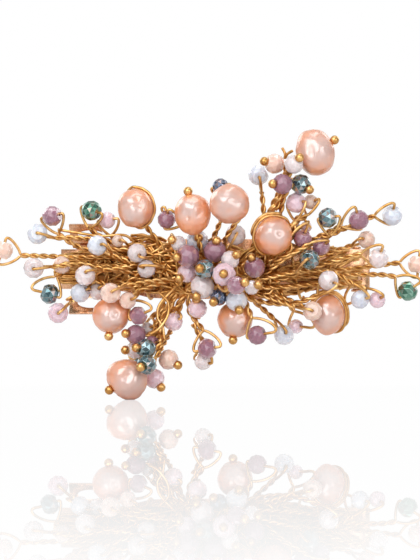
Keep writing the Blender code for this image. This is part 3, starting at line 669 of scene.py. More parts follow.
def rondelle(piece, spin, facets, table):
    """A faceted bead: flat ends round its hole, and rows of facets with each row turned by half a facet."""
    shape = bmesh.new()
    radius, half = piece.half.x, piece.half.z
    shoulder = (radius * 0.88, half * 0.56)
    profile = [
        (BORE, half, False),
        (radius * table, half, False),
        (shoulder[0], shoulder[1], True),
        (radius, half * 0.08, False),
        (shoulder[0], -shoulder[1], True),
        (radius * table, -half, False),
        (BORE, -half, False),
    ]
    rings = []
    for ring_radius, height, turned in profile:
        angles = [math.tau * (i + (0.5 if turned else 0.0)) / facets for i in range(facets)]
        corners = [(ring_radius * math.cos(a), ring_radius * math.sin(a), height) for a in angles]
        rings.append(([shape.verts.new(corner) for corner in corners], turned))
    for (low, low_turned), (high, high_turned) in zip(rings, [*rings[1:], rings[0]]):
        facet_band(shape, low, high, low_turned, high_turned)
    bmesh.ops.recalc_face_normals(shape, faces=shape.faces)
    edges = [e for e in shape.edges if e.calc_face_angle(0.0) > 0.12]
    bmesh.ops.bevel(shape, geom=edges, offset=0.035, segments=1, profile=0.6, affect="EDGES")
    shape.transform(placed(piece.axis, piece.centre, spin))
    return shape


def paint_facet_light(mesh, seed):
    """A value for each facet, drawn at random, that paints it a little lighter or darker as painted light, and
    a high one for the narrow faces between them, painted bright as painted highlight.
    """
    attribute = mesh.attributes.new("facet", "FLOAT", "FACE")
    values = np.random.default_rng(seed).random(len(mesh.polygons))
    narrow = 0.12 * max(face.area for face in mesh.polygons)
    for face in mesh.polygons:
        # Painted light for each facet, and painted highlight on the narrow faces
        attribute.data[face.index].value = 0.85 if face.area < narrow else values[face.index] * 0.9


# Each pearl: its bulges and its dents, which are less than 0, as a way, how much and how wide in radians; the
# way it is painted palest, towards the front where the light falls, as painted light; and how deep the painted
# shade runs at its sides
PEARLS = {
    "pearl_top": (
        [((-0.6, -0.2, 0.75), 0.07, 0.5), ((0.8, -0.2, -0.65), 0.08, 0.5), ((-0.8, -0.1, -0.6), -0.07, 0.5),
         ((0.8, -0.2, 0.7), -0.03, 0.4), ((-0.2, -1.0, 0.25), -0.07, 0.2), ((-0.2, -1.0, -0.05), -0.07, 0.2),
         ((0.3, -1.0, 0.0), 0.04, 0.4)],
        (0.2, -1.0, 0.1), 0.6,
    ),
    "pearl_bottom": (
        [((-0.8, -0.2, 0.6), 0.10, 0.5), ((0.9, -0.2, 0.1), 0.07, 0.6), ((0.45, -0.1, -0.9), 0.08, 0.5),
         ((-0.8, -0.1, -0.65), -0.12, 0.55), ((0.05, -1.0, 0.15), -0.12, 0.26),
         ((0.4, -1.0, -0.1), 0.06, 0.35), ((-0.3, -1.0, 0.5), 0.05, 0.35)],
        (0.25, -1.0, -0.25), 0.6,
    ),
    "pearl_upper_centre": (
        [((-0.4, -0.3, 0.7), 0.04, 0.5), ((0.8, -0.3, 0.3), 0.05, 0.5), ((-0.1, -0.2, -1.0), 0.03, 0.6),
         ((-0.3, -1.0, -0.12), -0.12, 0.24), ((0.15, -1.0, 0.45), 0.07, 0.35), ((-0.5, -0.9, 0.4), 0.05, 0.3),
         ((0.45, -0.9, 0.0), -0.05, 0.3), ((0.0, -1.0, -0.5), 0.06, 0.3)],
        (-0.25, -1.0, 0.3), 0.95,
    ),
    "pearl_upper_left": (
        [((-0.7, -0.3, 0.7), 0.06, 0.5), ((0.7, -0.3, 0.6), 0.03, 0.5), ((-0.4, -0.2, -0.9), 0.06, 0.5),
         ((0.5, -0.2, -0.9), 0.03, 0.5), ((-0.4, -1.0, 0.05), -0.05, 0.22), ((0.0, -1.0, 0.08), -0.06, 0.22),
         ((0.4, -1.0, 0.1), -0.06, 0.22), ((0.1, -1.0, 0.5), -0.05, 0.2), ((-0.35, -1.0, 0.5), 0.06, 0.3),
         ((0.0, -1.0, -0.4), 0.06, 0.35)],
        (-0.1, -1.0, -0.1), 0.7,
    ),
    "pearl_upper_middle": (
        [((-0.9, -0.2, 0.3), 0.03, 0.7), ((0.45, -0.9, 0.5), -0.09, 0.26), ((0.15, -1.0, 0.2), -0.07, 0.25),
         ((-0.35, -1.0, 0.1), 0.06, 0.4), ((0.45, -0.8, -0.35), 0.05, 0.35),
         ((0.0, -1.0, -0.35), -0.04, 0.25)],
        (-0.1, -1.0, 0.1), 0.6,
    ),
    "pearl_upper_right": (
        [((0.7, -0.2, 0.7), 0.03, 0.6), ((-0.6, -0.2, -0.8), 0.04, 0.6), ((0.3, -1.0, 0.1), -0.09, 0.2),
         ((-0.3, -1.0, 0.3), 0.05, 0.4)],
        (0.0, -1.0, 0.15), 0.85,
    ),
    "pearl_lower_left": (
        [((-0.9, -0.2, 0.2), 0.05, 0.6), ((0.8, -0.2, 0.4), 0.03, 0.6), ((0.2, -1.0, 0.1), -0.09, 0.24),
         ((-0.2, -1.0, -0.3), 0.06, 0.4), ((0.5, -1.0, -0.4), 0.04, 0.3)],
        (0.0, -1.0, -0.2), 0.9,
    ),
    "pearl_lower_right": (
        [((0.3, -0.2, 1.0), 0.05, 0.6), ((-0.4, -0.2, -0.9), 0.07, 0.6), ((-0.9, -0.2, 0.0), -0.06, 0.6),
         ((0.1, -1.0, 0.4), -0.06, 0.3), ((-0.1, -1.0, -0.2), 0.05, 0.35)],
        (-0.1, -1.0, -0.1), 0.7,
    ),
    "pearl_lower_centre": (
        [((-0.9, -0.2, 0.4), 0.06, 0.6), ((0.7, -0.2, 0.2), 0.04, 0.6), ((0.2, -0.2, -1.0), -0.04, 0.6),
         ((-0.2, -1.0, 0.0), 0.05, 0.35), ((0.3, -1.0, 0.1), -0.06, 0.25)],
        (0.0, -1.0, -0.4), 1.0,
    ),
}  # fmt: skip


# The waves in a pearl's skin: how close they are, and how deep
SKIN_WAVES = ((1.9, 0.040), (4.2, 0.020))
# A pearl's skin as a share of its CAD box, which leaves room for the waves
SKIN = 0.97


def pearl_swell(name, way):
    """How far a pearl's skin stands out this way, as a share of a plain oval's."""
    swell = 1.0
    for direction, amount, width in PEARLS[name][0]:
        swell += amount * math.exp(-((way.angle(Vector(direction)) / width) ** 2))
    offset = Vector((sum(map(ord, name)) % 29, 7.7, 3.1))
    for closeness, depth in SKIN_WAVES:
        swell += depth * noise.noise(way * closeness + offset)
    return swell


def baroque(piece, detail):
    """A pearl: an oval in its CAD box, with bulges, dents and waves, and a dimple at each end of its hole."""
    shape = bmesh.new()
    bmesh.ops.create_icosphere(shape, subdivisions=detail, radius=1.0)
    for vert in shape.verts:
        way = vert.co.normalized()
        dimple = 0.05 * math.exp(-(((1.0 - abs(way.dot(piece.axis))) / 0.01) ** 2))
        stand = SKIN * (pearl_swell(piece.name, way) - dimple)
        vert.co = piece.centre + Vector(a * b for a, b in zip(way, piece.half)) * stand
    return shape


def paint_pearl_light_and_shade(mesh, piece):
    """How deep the pearl's painted shade is at each vertex: pale on the side towards the light, as painted
    light, and deeper round it and in its dents, as painted shade.
    """
    attribute = mesh.attributes.new("blush", "FLOAT", "POINT")
    bulges, pale, depth = PEARLS[piece.name]
    pale = Vector(pale).normalized()
    dents = [(Vector(way), width * 0.8) for way, amount, width in bulges if amount < 0]
    centre = piece.centre * MM
    for vert in mesh.vertices:
        way = (vert.co - centre).normalized()
        # Painted light: paler as the skin turns towards the light at the front; painted shade deepens round
        # the sides and in the dents
        turned = way.angle(pale) + 0.25 * noise.noise(way * 2.2 + piece.centre)
        side = min(1.0, max(0.0, (turned - 0.3) / 0.8)) * depth
        dented = sum(math.exp(-((way.angle(dent) / width) ** 2)) for dent, width in dents)
        attribute.data[vert.index].value = min(1.0, side + 0.225 * dented)


# ---------------------------------------------------------------- clip


def rounded_copy(node, window=False):
    """A clip piece with whole flat faces and rounded edges, and a window in it if it is a squeeze tab."""
    shape = bmesh.new()
    shape.from_mesh(frame["nodes"][node].data)
    bmesh.ops.remove_doubles(shape, verts=shape.verts, dist=1e-7)
    bmesh.ops.dissolve_limit(
        shape, angle_limit=math.radians(1.0), verts=shape.verts, edges=shape.edges, delimit={"NORMAL"}
    )
    bmesh.ops.scale(shape, vec=(1 / MM, 1 / MM, 1 / MM), verts=shape.verts)
    made = mesh_object(f"{node}_rounded", shape)
    if window:
        cut_window(made, node)
    low, high = (Vector(corner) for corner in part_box(node))
    bevel = made.modifiers.new("Bevel", "BEVEL")
    bevel.width = min(0.00012, min(high - low) * 0.15)
    bevel.segments = 2
    bevel.limit_method = "ANGLE"
    bevel.angle_limit = math.radians(35)
    apply_modifiers(made)
    made.data.shade_smooth()
    made.data.set_sharp_from_angle(angle=math.radians(40))
    return made


def cut_window(made, node):
    """An oval hole through the flared half of a squeeze tab."""
    low, high = (Vector(corner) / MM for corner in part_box(node))
    size, middle = high - low, (low + high) / 2
    outward = Vector((0, 0, math.copysign(size.z * 0.12, middle.z)))
    shape = bmesh.new()
    bmesh.ops.create_cone(shape, cap_ends=True, segments=40, radius1=1.0, radius2=1.0, depth=40.0)
    bmesh.ops.scale(shape, vec=(size.x * 0.30, size.z * 0.16, 1.0), verts=shape.verts)
    shape.transform(Matrix.Translation(middle + outward) @ Matrix.Rotation(math.pi / 2, 4, "X"))
    cutter = mesh_object(f"{node}_window", shape)
    boolean = made.modifiers.new("Window", "BOOLEAN")
    boolean.object = cutter
    boolean.solver = "EXACT"
    apply_modifiers(made)
    bpy.data.objects.remove(cutter)


def apply_modifiers(made):
    """Turns a piece with modifiers into a plain mesh."""
    evaluated = made.evaluated_get(bpy.context.evaluated_depsgraph_get())
    mesh = bpy.data.meshes.new_from_object(evaluated)
    made.modifiers.clear()
    made.data = mesh
    mesh.name = made.name


# ---------------------------------------------------------------- wire


WIRE_INPUTS = {
    "Strand Radius": "NodeSocketFloat",
    "Offset": "NodeSocketFloat",
    "Pitch": "NodeSocketFloat",
    "Step": "NodeSocketFloat",
    "Sides": "NodeSocketInt",
    "Material": "NodeSocketMaterial",
}
WIRE_STEP = 0.25  # the length of one stretch of a strand's mesh
WIRE_SIDES = 7
LOOSE = 1.7  # a loose twist's pitch, as a share of a stem's


def wire_tree(name, strands):
    """A tree that lays strands round each path of a curve, twisted about it, or one strand along it."""
    tree = bpy.data.node_groups.new(name, "GeometryNodeTree")
    tree.interface.new_socket("Geometry", in_out="INPUT", socket_type="NodeSocketGeometry")
    for label, kind in WIRE_INPUTS.items():
        tree.interface.new_socket(label, in_out="INPUT", socket_type=kind)
    tree.interface.new_socket("Geometry", in_out="OUTPUT", socket_type="NodeSocketGeometry")
    start = Socket(tree)
    group = tree.nodes.new("NodeGroupInput")
    given = {out.name: Socket(tree, out) for out in group.outputs if out.name}
    even = start.node(
        "GeometryNodeResampleCurve", {"Curve": given["Geometry"], "Length": given["Step"]}, mode="LENGTH"
    )
    along = start.node("GeometryNodeSplineParameter", output="Length")
    tangent, normal = start.node("GeometryNodeInputTangent"), start.node("GeometryNodeInputNormal")
    binormal = tangent.vector("CROSS_PRODUCT", normal)
    profile = start.node(
        "GeometryNodeCurvePrimitiveCircle", {"Resolution": given["Sides"], "Radius": given["Strand Radius"]}
    )
    joined = tree.nodes.new("GeometryNodeJoinGeometry")
    for k in range(strands):
        angle = along / given["Pitch"] * math.tau + math.tau * k / strands
        across = normal.vector("SCALE", Scale=angle.math("COSINE") * given["Offset"])
        up = binormal.vector("SCALE", Scale=angle.math("SINE") * given["Offset"])
        shift = across.vector("ADD", up)
        strand = start.node("GeometryNodeSetPosition", {"Geometry": even, "Offset": shift})
        solid = start.node(
            "GeometryNodeCurveToMesh", {"Curve": strand, "Profile Curve": profile, "Fill Caps": True}
        )
        tree.links.new(solid.out, joined.inputs[0])
    smooth = start.node("GeometryNodeSetShadeSmooth", {"Geometry": Socket(tree, joined.outputs[0])})
    real = start.node("GeometryNodeRealizeInstances", {"Geometry": smooth})
    coloured = start.node("GeometryNodeSetMaterial", {"Geometry": real, "Material": given["Material"]})
    tree.links.new(coloured.out, tree.nodes.new("NodeGroupOutput").inputs["Geometry"])
    return tree


def wire_piece(name, paths, tree, loose=1.0, replaced=()):
    """Real gold wire along each path of points: twisted, or a single plain one."""
    wire, gold = settings().wire, model.materials["gold"]
    curve = bpy.data.curves.new(f"{name}_paths", "CURVE")
    curve.dimensions = "3D"
    for path in paths:
        spline = curve.splines.new("POLY")
        spline.points.add(len(path) - 1)
        for point, place in zip(spline.points, path):
            point.co = (*(place * MM), 1.0)
    holder = bpy.data.objects.new(f"{name}_paths", curve)
    bpy.context.scene.collection.objects.link(holder)
    modifier = holder.modifiers.new("Wire", "NODES")
    modifier.node_group = model.trees[tree]
    values = {
        "Strand Radius": wire.strand,
        "Offset": wire.strand if tree == "twisted" else 0.0,
        "Pitch": wire.pitch * loose,
        "Step": WIRE_STEP * MM,
        "Sides": WIRE_SIDES,
        "Material": gold,
    }
    for item in modifier.node_group.interface.items_tree:
        if item.in_out == "INPUT" and item.name in values:
            modifier[item.identifier] = values[item.name]
    evaluated = holder.evaluated_get(bpy.context.evaluated_depsgraph_get())
    mesh = bpy.data.meshes.new_from_object(evaluated)
    mesh.name = name
    bpy.data.objects.remove(holder)
    made = bpy.data.objects.new(name, mesh)
    bpy.context.scene.collection.objects.link(made)
    finish_piece(made, gold, replaced)


def curve_points(points, per_span):
    """Points along a Catmull-Rom curve through these ones."""
    ends = [points[0] * 2 - points[1], *points, points[-1] * 2 - points[-2]]
    found = []
    for a, b, c, d in zip(ends, ends[1:], ends[2:], ends[3:]):
        for i in range(per_span):
            t = i / per_span
            square, cube = 2 * a - 5 * b + 4 * c - d, 3 * b - a - 3 * c + d
            found.append(0.5 * (2 * b + (c - a) * t + square * t**2 + cube * t**3))
    return [*found, points[-1]]


class Clearance:
    """Keeps a stem out of the beads, the pearls and the plate."""

    STEM = 0.6  # a twisted stem's radius
    SMOOTHING = 0.3
    ROUNDS = 40

    def __init__(self, beads):
        self.centres = np.array([piece.centre for piece in beads])
        self.reaches = np.array([piece.reach() for piece in beads])

    def push(self, points, own):
        """Moves the points out of whatever they are deepest in, apart from the stem's own bead."""
        for i in range(1, len(points) - 1):
            away = points[i] - self.centres
            length = np.linalg.norm(away, axis=1)
            room = self.reaches + self.STEM - length
            room[own] = -1.0
            worst = int(np.argmax(room))
            if room[worst] > 0:
                points[i] = points[i] + away[worst] / max(length[worst], 1e-6) * room[worst]
            front = plate_front(points[i][0]) - self.STEM - 0.1
            if abs(points[i][2]) < 7.5 and abs(points[i][0]) < PLATE_HALF + 2.0 and points[i][1] > front:
                points[i][1] = front

    def route(self, path, own):
        """The path, smoothed and kept clear, with its ends where they were."""
        points = np.array(path)
        for _ in range(self.ROUNDS):
            points[1:-1] += self.SMOOTHING * ((points[:-2] + points[2:]) / 2 - points[1:-1])
            self.push(points, own)
        return [Vector(point) for point in points]


MASS_HALF = 5.0  # half the width of the mass of wire at the plate's middle
MASS_END = 31.0  # how far from the middle the mass has narrowed by the share of TAPER
TAPER = 0.45
TABS_FROM, TABS_HALF = -19.0, 3.9  # where the squeeze tabs begin, and half the width between them


def half_width(x):
    """Half the width of the mass of wire: less towards its ends, and between the squeeze tabs."""
    narrow = MASS_HALF * (1.0 - TAPER * (abs(x) / MASS_END) ** 4)
    return min(narrow, TABS_HALF) if x < TABS_FROM else narrow


def lane(x, across, depth):
    """A place in the mass of wire along the plate: across from -1 to 1, depth from 0 at the plate to 1."""
    width = half_width(x)
    dome = math.sqrt(max(0.0, 1.0 - 0.7 * min(1.0, across * across)))
    return Vector((x, plate_front(x) - 0.5 - depth * 0.52 * dome * width, across * width))


def bezier(a, b, c, d, count):
    """Points along a cubic curve, from a up to and without d."""
    steps = [i / count for i in range(count)]
    return [
        a * (1 - t) ** 3 + b * (3 * t * (1 - t) ** 2) + c * (3 * t * t * (1 - t)) + d * t**3 for t in steps
    ]


def stem_path(piece, start, side, rng, clearance, own):
    """The twisted wire of a piece: from its loop or pin to its spray's root, and on along the plate."""
    root, way = ROOTS[piece.spray]
    across = max(-0.9, min(0.9, rng.normal(root.z / MASS_HALF, 0.4)))
    depth = rng.uniform(0.1, 0.95)
    landing = lane(root.x + rng.uniform(-3.0, 3.0), across, depth)
    onward = math.copysign(rng.uniform(3, 7), start.x - landing.x)
    ends = lane(landing.x - onward, -across * 0.5, depth * 0.4)
    span = (landing - start).length
    lead = start + side * min(span * 0.35, 4.0)
    curl = 2.2 if piece.spray == "left" else 1.0
    bend = Vector((0, 0, rng.normal(0, 0.12) * span))
    pull = landing + (way * span * 0.45 if way else (start - landing) * 0.35) + bend
    pull.y = min(pull.y, landing.y)
    sway, phase = rng.uniform(0.2, 0.6) * curl, rng.uniform(0.0, math.tau)
    count = max(8, int(span / 1.2))
    path = []
    for i, point in enumerate([*bezier(start, lead, pull, landing, count), landing]):
        t = i / count
        swing = sway * math.sin(math.pi * t)
        path.append(point + Vector((0, math.cos(phase + t * 7.0), math.sin(phase + t * 9.0))) * swing)
    routed = clearance.route(path, own)
    if piece.node is None and piece.spray in ("bottom", "top"):
        return curve_points(routed[: max(4, len(routed) // 2)], 3)
    middle = landing.lerp(ends, 0.5) + Vector((0, -0.4, rng.uniform(-1.2, 1.2)))
    return curve_points([*routed, middle, ends], 3)


def loop_path(piece, side, rng):
    """A loop of wire from the stem's tip, through the bead's hole and back, wider on one side."""
    near, far = piece.sweep[2:] if piece.sweep else (rng.uniform(1.2, 2.0), rng.uniform(1.0, 1.4))
    tip = piece.centre + side * (piece.radius + 1.5)
    halves = []
    for way, swing in ((1, near), (-1, far)):
        axis = piece.axis * way
        face = piece.centre + axis * piece.half.z
        end = tip + axis * 0.22
        out = end + axis * (swing * 0.9) - side * 0.9
        into = face + axis * (swing * 1.25) - side * 0.5 * swing
        halves.append(bezier(end, out, into, face, 14))
    return tip, [*halves[0], piece.centre, *reversed(halves[1])]


def ring_path(piece, start, end, off, count=24, tuck=5):
    """Wire round a pearl's front edge from one angle to the other, both ends tucked in behind it."""
    points = []
    for i in range(-tuck, count + tuck + 1):
        angle = math.radians(start + (end - start) * i / count)
        way = Vector((math.cos(angle), 0.0, math.sin(angle)))
        past = max(0, -i, i - count) / tuck
        front = math.sin(math.pi * min(1.0, max(0.0, i / count)))
        room = (piece.reach(way) + off) * (1.0 - 0.3 * past**1.5)
        points.append(piece.centre + way * room + Vector((0, 0.4 - 0.9 * front + 3.4 * past, 0)))
    return curve_points(points, 2)


def piece_wires(piece, rng):
    """A piece's plain wire and ball, and where and in which way its stem leaves."""
    root, _ = ROOTS[piece.spray]
    target = Vector((root.x, plate_front(root.x) - 1.5, root.z)) - piece.centre
    if piece.name in RINGS:
        side = target.normalized()
        rings = [ring_path(piece, *ring) for ring in RINGS[piece.name]]
        return rings, None, piece.centre + side * (piece.reach(side) + 0.3), side
    if piece.hold == LOOP:
        if piece.sweep:
            target = Vector((piece.sweep[0], 0.15, piece.sweep[1]))
        side = (target - piece.axis * target.dot(piece.axis)).normalized()
        tip, path = loop_path(piece, side, rng)
        return [path], None, tip, side
    ends = [way * (piece.reach(way) + room) for way, room in ((piece.axis, 0.6), (-piece.axis, 0.7))]
    out, back = (piece.centre + end for end in ends)
    behind = Vector((0, 0.9 if piece.is_pearl() else 0.0, 0))
    side = (target.normalized() - piece.axis * 1.2 + behind).normalized()
    if piece.hold == PEG:
        return [[piece.centre, back]], None, back, side
    return [[out, piece.centre, back]], out, back, side


TANGLE_STRIDE = 1.2
FAN_FROM = 2.0  # the tangle's wires fan out to the right of here
LEFT_TURN, RIGHT_END = -30.5, 29.5  # where a wire of the tangle turns back, and where it stops


def tangle_walk(rng):
    """A wire's places along the plate: it wanders to the left, and to the right it runs up and out."""
    x, z = rng.uniform(-31, 27), rng.uniform(-MASS_HALF, MASS_HALF)
    fanned = x > FAN_FROM
    heading = rng.normal(0.25 + 0.06 * (z + MASS_HALF), 0.16) if fanned else rng.normal(0.2, 0.75)
    bend, depth = 0.0, rng.uniform(0.0, 0.9)
    curl = 0.04 if fanned else 0.13
    points = []
    for _ in range(rng.integers(11, 22)):
        limit = half_width(x)
        z = max(-limit, min(limit, z))
        points.append(lane(x, z / limit, max(0.0, min(1.0, depth))))
        bend = 0.75 * bend + rng.normal(0, curl)
        if x < LEFT_TURN and math.cos(heading) < 0:
            bend = -math.copysign(0.7, math.sin(heading))
        heading += bend
        x += TANGLE_STRIDE * math.cos(heading)
        z += TANGLE_STRIDE * math.sin(heading)
        depth += rng.normal(0, 0.12)
        outside = abs(z) > limit
        if x > RIGHT_END or fanned and outside:
            break
        if outside:
            heading = -heading
    return points


def tangle_paths(count, rng, shortest=5, smoothings=3):
    """The wires that run along the plate and cover it."""
    paths = []
    for _ in range(count):
        points = tangle_walk(rng)
        if len(points) < shortest:
            continue
        for _ in range(smoothings):
            inner = [(a + b * 2 + c) / 4 for a, b, c in zip(points, points[1:], points[2:])]
            points = [points[0], *inner, points[-1]]
        paths.append(curve_points(points, 3))
    return paths


def arc_path(rng):
    """A bowed wire that rises out of the mass and goes back into it."""
    x, across = rng.uniform(-27, 25), rng.uniform(-0.8, 0.8)
    heading = rng.normal(0.6, 0.25) if x > FAN_FROM else rng.normal(0.35, 0.7)
    length, bow = rng.uniform(5, 11), rng.choice((-1, 1)) * rng.uniform(0.15, 0.42)
    points = []
    for i in range(9):
        t = i / 8 - 0.5
        along, aside = t * length, bow * length * (0.25 - t * t) * 2.0
        dx = along * math.cos(heading) - aside * math.sin(heading)
        dz = along * math.sin(heading) + aside * math.cos(heading)
        place = lane(max(-32.5, min(RIGHT_END, x + dx)), max(-1.0, min(1.0, across + dz / MASS_HALF)), 0.4)
        points.append(place + Vector((0, -2.0 * math.cos(math.pi * t), 0)))
    return curve_points(points, 3)


def end_loop(rng):
    """A wire that runs out past the plate's left end, turns and comes back."""
    z, turn = rng.uniform(-2.0, 2.0), rng.choice((-1, 1)) * rng.uniform(1.0, 2.0)
    start, apex = rng.uniform(-26, -20), rng.uniform(-32.6, -30.6)
    rise = rng.uniform(0.6, 2.4)
    out, back = apex + 1.6, start - 2
    course = ((start, 0.0), (start - 3, 0.1), (out, 0.2), (apex, 0.55), (out, 0.9), (back, 1.1))
    return curve_points([Vector((x, plate_front(x) - rise, z + turn * share)) for x, share in course], 4)


def mound_path(rng):
    """A wire that lies across the mound under the upper left pearl."""
    x, z, half = rng.uniform(-15.6, -12), rng.uniform(3.6, 6.8), rng.uniform(2.6, 3.9)
    lean, rise = rng.normal(0.0, 0.35), rng.uniform(0.4, 2.2)
    points = []
    for i in range(7):
        t = i / 3 - 1
        drop = rng.uniform(0.6, 1.8) * t * t
        front = plate_front(x) - rise * (1.2 - t * t)
        points.append(Vector((x + half * t, front, z + lean * half * t - drop)))
    return curve_points(points, 4)


PLATE_THICK = 0.8
WRAP_HALF, WRAP_END_HALF = 6.35, 5.6  # half the width of a turn round the plate, and round its narrower ends
NARROW_FROM = 12.0


def wrap_path(x, rng):
    """One turn of wire round the plate and the mass of wire in front of it."""
    lean, height = rng.uniform(2.0, 5.0), rng.uniform(2.0, 3.0)
    edge = WRAP_HALF if abs(x) < NARROW_FROM else WRAP_END_HALF
    front = plate_front(x) - height
    back = plate_front(x) + PLATE_THICK + 0.45
    bump = rng.uniform(-0.3, 0.3)
    profile = [
        (back, -edge), (back, 0.0), (back, edge), (back - 0.9, edge + 0.4), (front + 1.4, edge - 0.4),
        (front, 2.6 + bump), (front - 0.2, -0.4), (front + 0.1, -3.0), (front + 1.5, -edge + 0.5),
        (back - 0.9, -edge - 0.4), (back, -edge),
    ]  # fmt: skip
    last = len(profile) - 1
    return curve_points([Vector((x + lean * i / last, y, z)) for i, (y, z) in enumerate(profile)], 4)


# ---------------------------------------------------------------- operators


class Model:
    """What the operators share: materials, beads and wire trees, each made when it is first asked for."""

    @cached_property
    def materials(self):
        return make_materials(settings().colours)

    @cached_property
    def beads(self):
        return all_beads()

    @cached_property
    def trees(self):
        return {"twisted": wire_tree("Twisted wire", 2), "plain": wire_tree("Plain wire", 1)}


model = Model()


class BARRETTE_OT_clip(bpy.types.Operator):
    """Makes the clip's plate, arm, spring, latch and rivets, with their edges rounded"""

    bl_idname = "barrette.clip"
    bl_label = "Clip"

    def execute(self, context):
        for entry in frame["record"]["subparts"]:
            slot, node = entry["material_slot"], entry["node"]
            if slot in ("clip_gold", "spring_steel"):
                made = rounded_copy(node, window=node.endswith("squeeze_tab"))
                finish_piece(made, model.materials[slot], [node], CLIP_BODIES.get(node, BASE))
        return {"FINISHED"}


class BARRETTE_OT_beads(bpy.types.Operator):
    """Makes the faceted glass beads"""

    bl_idname = "barrette.beads"
    bl_label = "Beads"

    def execute(self, context):
        sizes = settings().beads
        for number, piece in enumerate(p for p in model.beads if not p.is_pearl()):
            shape = rondelle(piece, number * 0.7, sizes.facets, sizes.table)
            made = mesh_object(f"{piece.name}_glass", shape)
            paint_facet_light(made.data, number)
            # The record has no slot of its own for the dark blue glass, which is finished as a coated crystal,
            # as the teal is
            finish_piece(made, model.materials[piece.colour], [piece.node] if piece.node else ())
        return {"FINISHED"}


class BARRETTE_OT_pearls(bpy.types.Operator):
    """Makes the baroque pearls"""

    bl_idname = "barrette.pearls"
    bl_label = "Pearls"

    def execute(self, context):
        for piece in (p for p in model.beads if p.is_pearl()):
            made = mesh_object(f"{piece.name}_nacre", baroque(piece, settings().beads.detail), smooth=True)
            paint_pearl_light_and_shade(made.data, piece)
            finish_piece(made, model.materials["pearl"], [piece.node])
        return {"FINISHED"}


class BARRETTE_OT_wires(bpy.types.Operator):
    """Makes each spray's loops, head pins and twisted stems"""

    bl_idname = "barrette.wires"
    bl_label = "Wires"

    def execute(self, context):
        clearance = Clearance(model.beads)
        ball_radius = settings().wire.ball / MM
        for spray in SPRAYS:
            rng = np.random.default_rng(len(spray) * 7)
            plain, twisted, balls = [], [], bmesh.new()
            for own, piece in enumerate(model.beads):
                if piece.spray != spray:
                    continue
                paths, ball, start, side = piece_wires(piece, rng)
                plain += paths
                if ball:
                    place = Matrix.Translation(ball)
                    bmesh.ops.create_icosphere(balls, subdivisions=3, radius=ball_radius, matrix=place)
                twisted.append(stem_path(piece, start, side, rng, clearance, own))
            wire_piece(f"{spray}_twisted_stems", twisted, "twisted", replaced=[f"{spray}_spray_wire"])
            wire_piece(f"{spray}_loops_and_pins", plain, "plain")
            heads = mesh_object(f"{spray}_pin_heads", balls, smooth=True)
            finish_piece(heads, model.materials["gold"])
        return {"FINISHED"}


class BARRETTE_OT_tangle(bpy.types.Operator):
    """Makes the mass of twisted wire along the plate and the turns that bind it"""

    bl_idname = "barrette.tangle"
    bl_label = "Tangle"

    def execute(self, context):
        wire = settings().wire
        rng = np.random.default_rng(5)
        paths = tangle_paths(wire.tangle, rng)
        wire_piece("plate_tangle", paths[::2], "twisted", LOOSE)
        wire_piece("plate_tangle_singles", paths[1::2], "plain")
        arcs = [arc_path(rng) for _ in range(wire.arcs)]
        arcs += [end_loop(rng) for _ in range(wire.arcs // 3)]
        arcs += [mound_path(rng) for _ in range(wire.arcs // 3)]
        arcs += [curve_points([Vector(point) for point in path], 6) for path in STRAYS]
        wire_piece("stray_arcs", arcs, "plain")
        wire_piece("binding_turns", [wrap_path(x, rng) for x in BINDINGS], "plain")
        return {"FINISHED"}


class BARRETTE_OT_stage(bpy.types.Operator):
    """Sets the floor, the light and the camera"""

    bl_idname = "barrette.stage"
    bl_label = "Stage"

    def execute(self, context):
        stage = settings().stage
        make_floor(stage.shine)
        make_world()
        make_lights()
        make_camera(stage)
        return {"FINISHED"}


def make_floor(shine):
    """A white floor that mirrors the barrette faintly, most where it stands and less towards the front."""
    low, _ = LOADED_BOUNDS
    shape = bmesh.new()
    bmesh.ops.create_grid(shape, x_segments=1, y_segments=1, size=6000.0)
    bmesh.ops.translate(shape, vec=(0, 0, low[2] / MM - 0.2), verts=shape.verts)
    floor = mesh_object("floor", shape)
    made = bpy.data.materials.new("polished_white_floor")
    made.use_nodes = True
    tree = made.node_tree
    place = object_coordinates(made)
    across = place.node("ShaderNodeSeparateXYZ", {"Vector": place}, "X")
    depth = across.beside("Y")
    front = ramp(depth, low=-0.72, high=-0.3)
    sides = 1.0 - ramp(across.math("ABSOLUTE"), low=0.07, high=0.16)
    back = 1.0 - ramp(depth, low=0.06, high=0.16)
    facing = place.node("ShaderNodeLayerWeight", {"Blend": 0.5}, "Facing")
    share = front * sides * back * ramp(facing, low=0.72, high=0.92) * shine
    seen = place.node("ShaderNodeLightPath", output="Is Camera Ray")
    white = place.node("ShaderNodeEmission", {"Color": (1, 1, 1, 1), "Strength": 1.0})
    pale = place.node("ShaderNodeBsdfDiffuse", {"Color": (0.75, 0.73, 0.72, 1)})
    mirror = place.node("ShaderNodeBsdfGlossy", {"Color": (1, 1, 1, 1), "Roughness": 0.0})
    shown = place.node("ShaderNodeMixShader", {0: share, 1: white, 2: mirror})
    mixed = place.node("ShaderNodeMixShader", {0: seen, 1: pale, 2: shown})
    tree.links.new(mixed.out, tree.nodes["Material Output"].inputs["Surface"])
    floor.data.materials.append(made)


def make_world():
    """White where the camera looks; for the light, a white wall behind, a bright top and dimmer sides."""
    world = bpy.data.worlds.new("studio")
    bpy.context.scene.world = world
    world.use_nodes = True
    tree = world.node_tree
    start = Socket(tree)
    way = start.node("ShaderNodeTexCoord", output="Generated")
    up = start.node("ShaderNodeSeparateXYZ", {"Vector": way}, "Z")
    top = ramp(up, low=-0.3, high=0.8) * 0.38
    wall = ramp(up.beside("Y"), low=0.75, high=0.97) * 0.65
    strength = (top + wall + 0.24).math("MINIMUM", 1.0)
    seen = start.node("ShaderNodeLightPath", output="Is Camera Ray")
    white = start.node("ShaderNodeBackground", {"Color": (1, 1, 1, 1), "Strength": 1.0})
    soft = start.node("ShaderNodeBackground", {"Color": (1, 1, 1, 1), "Strength": strength})
    mixed = start.node("ShaderNodeMixShader", {0: seen, 1: soft, 2: white})
    tree.links.new(mixed.out, tree.nodes["World Output"].inputs["Surface"])


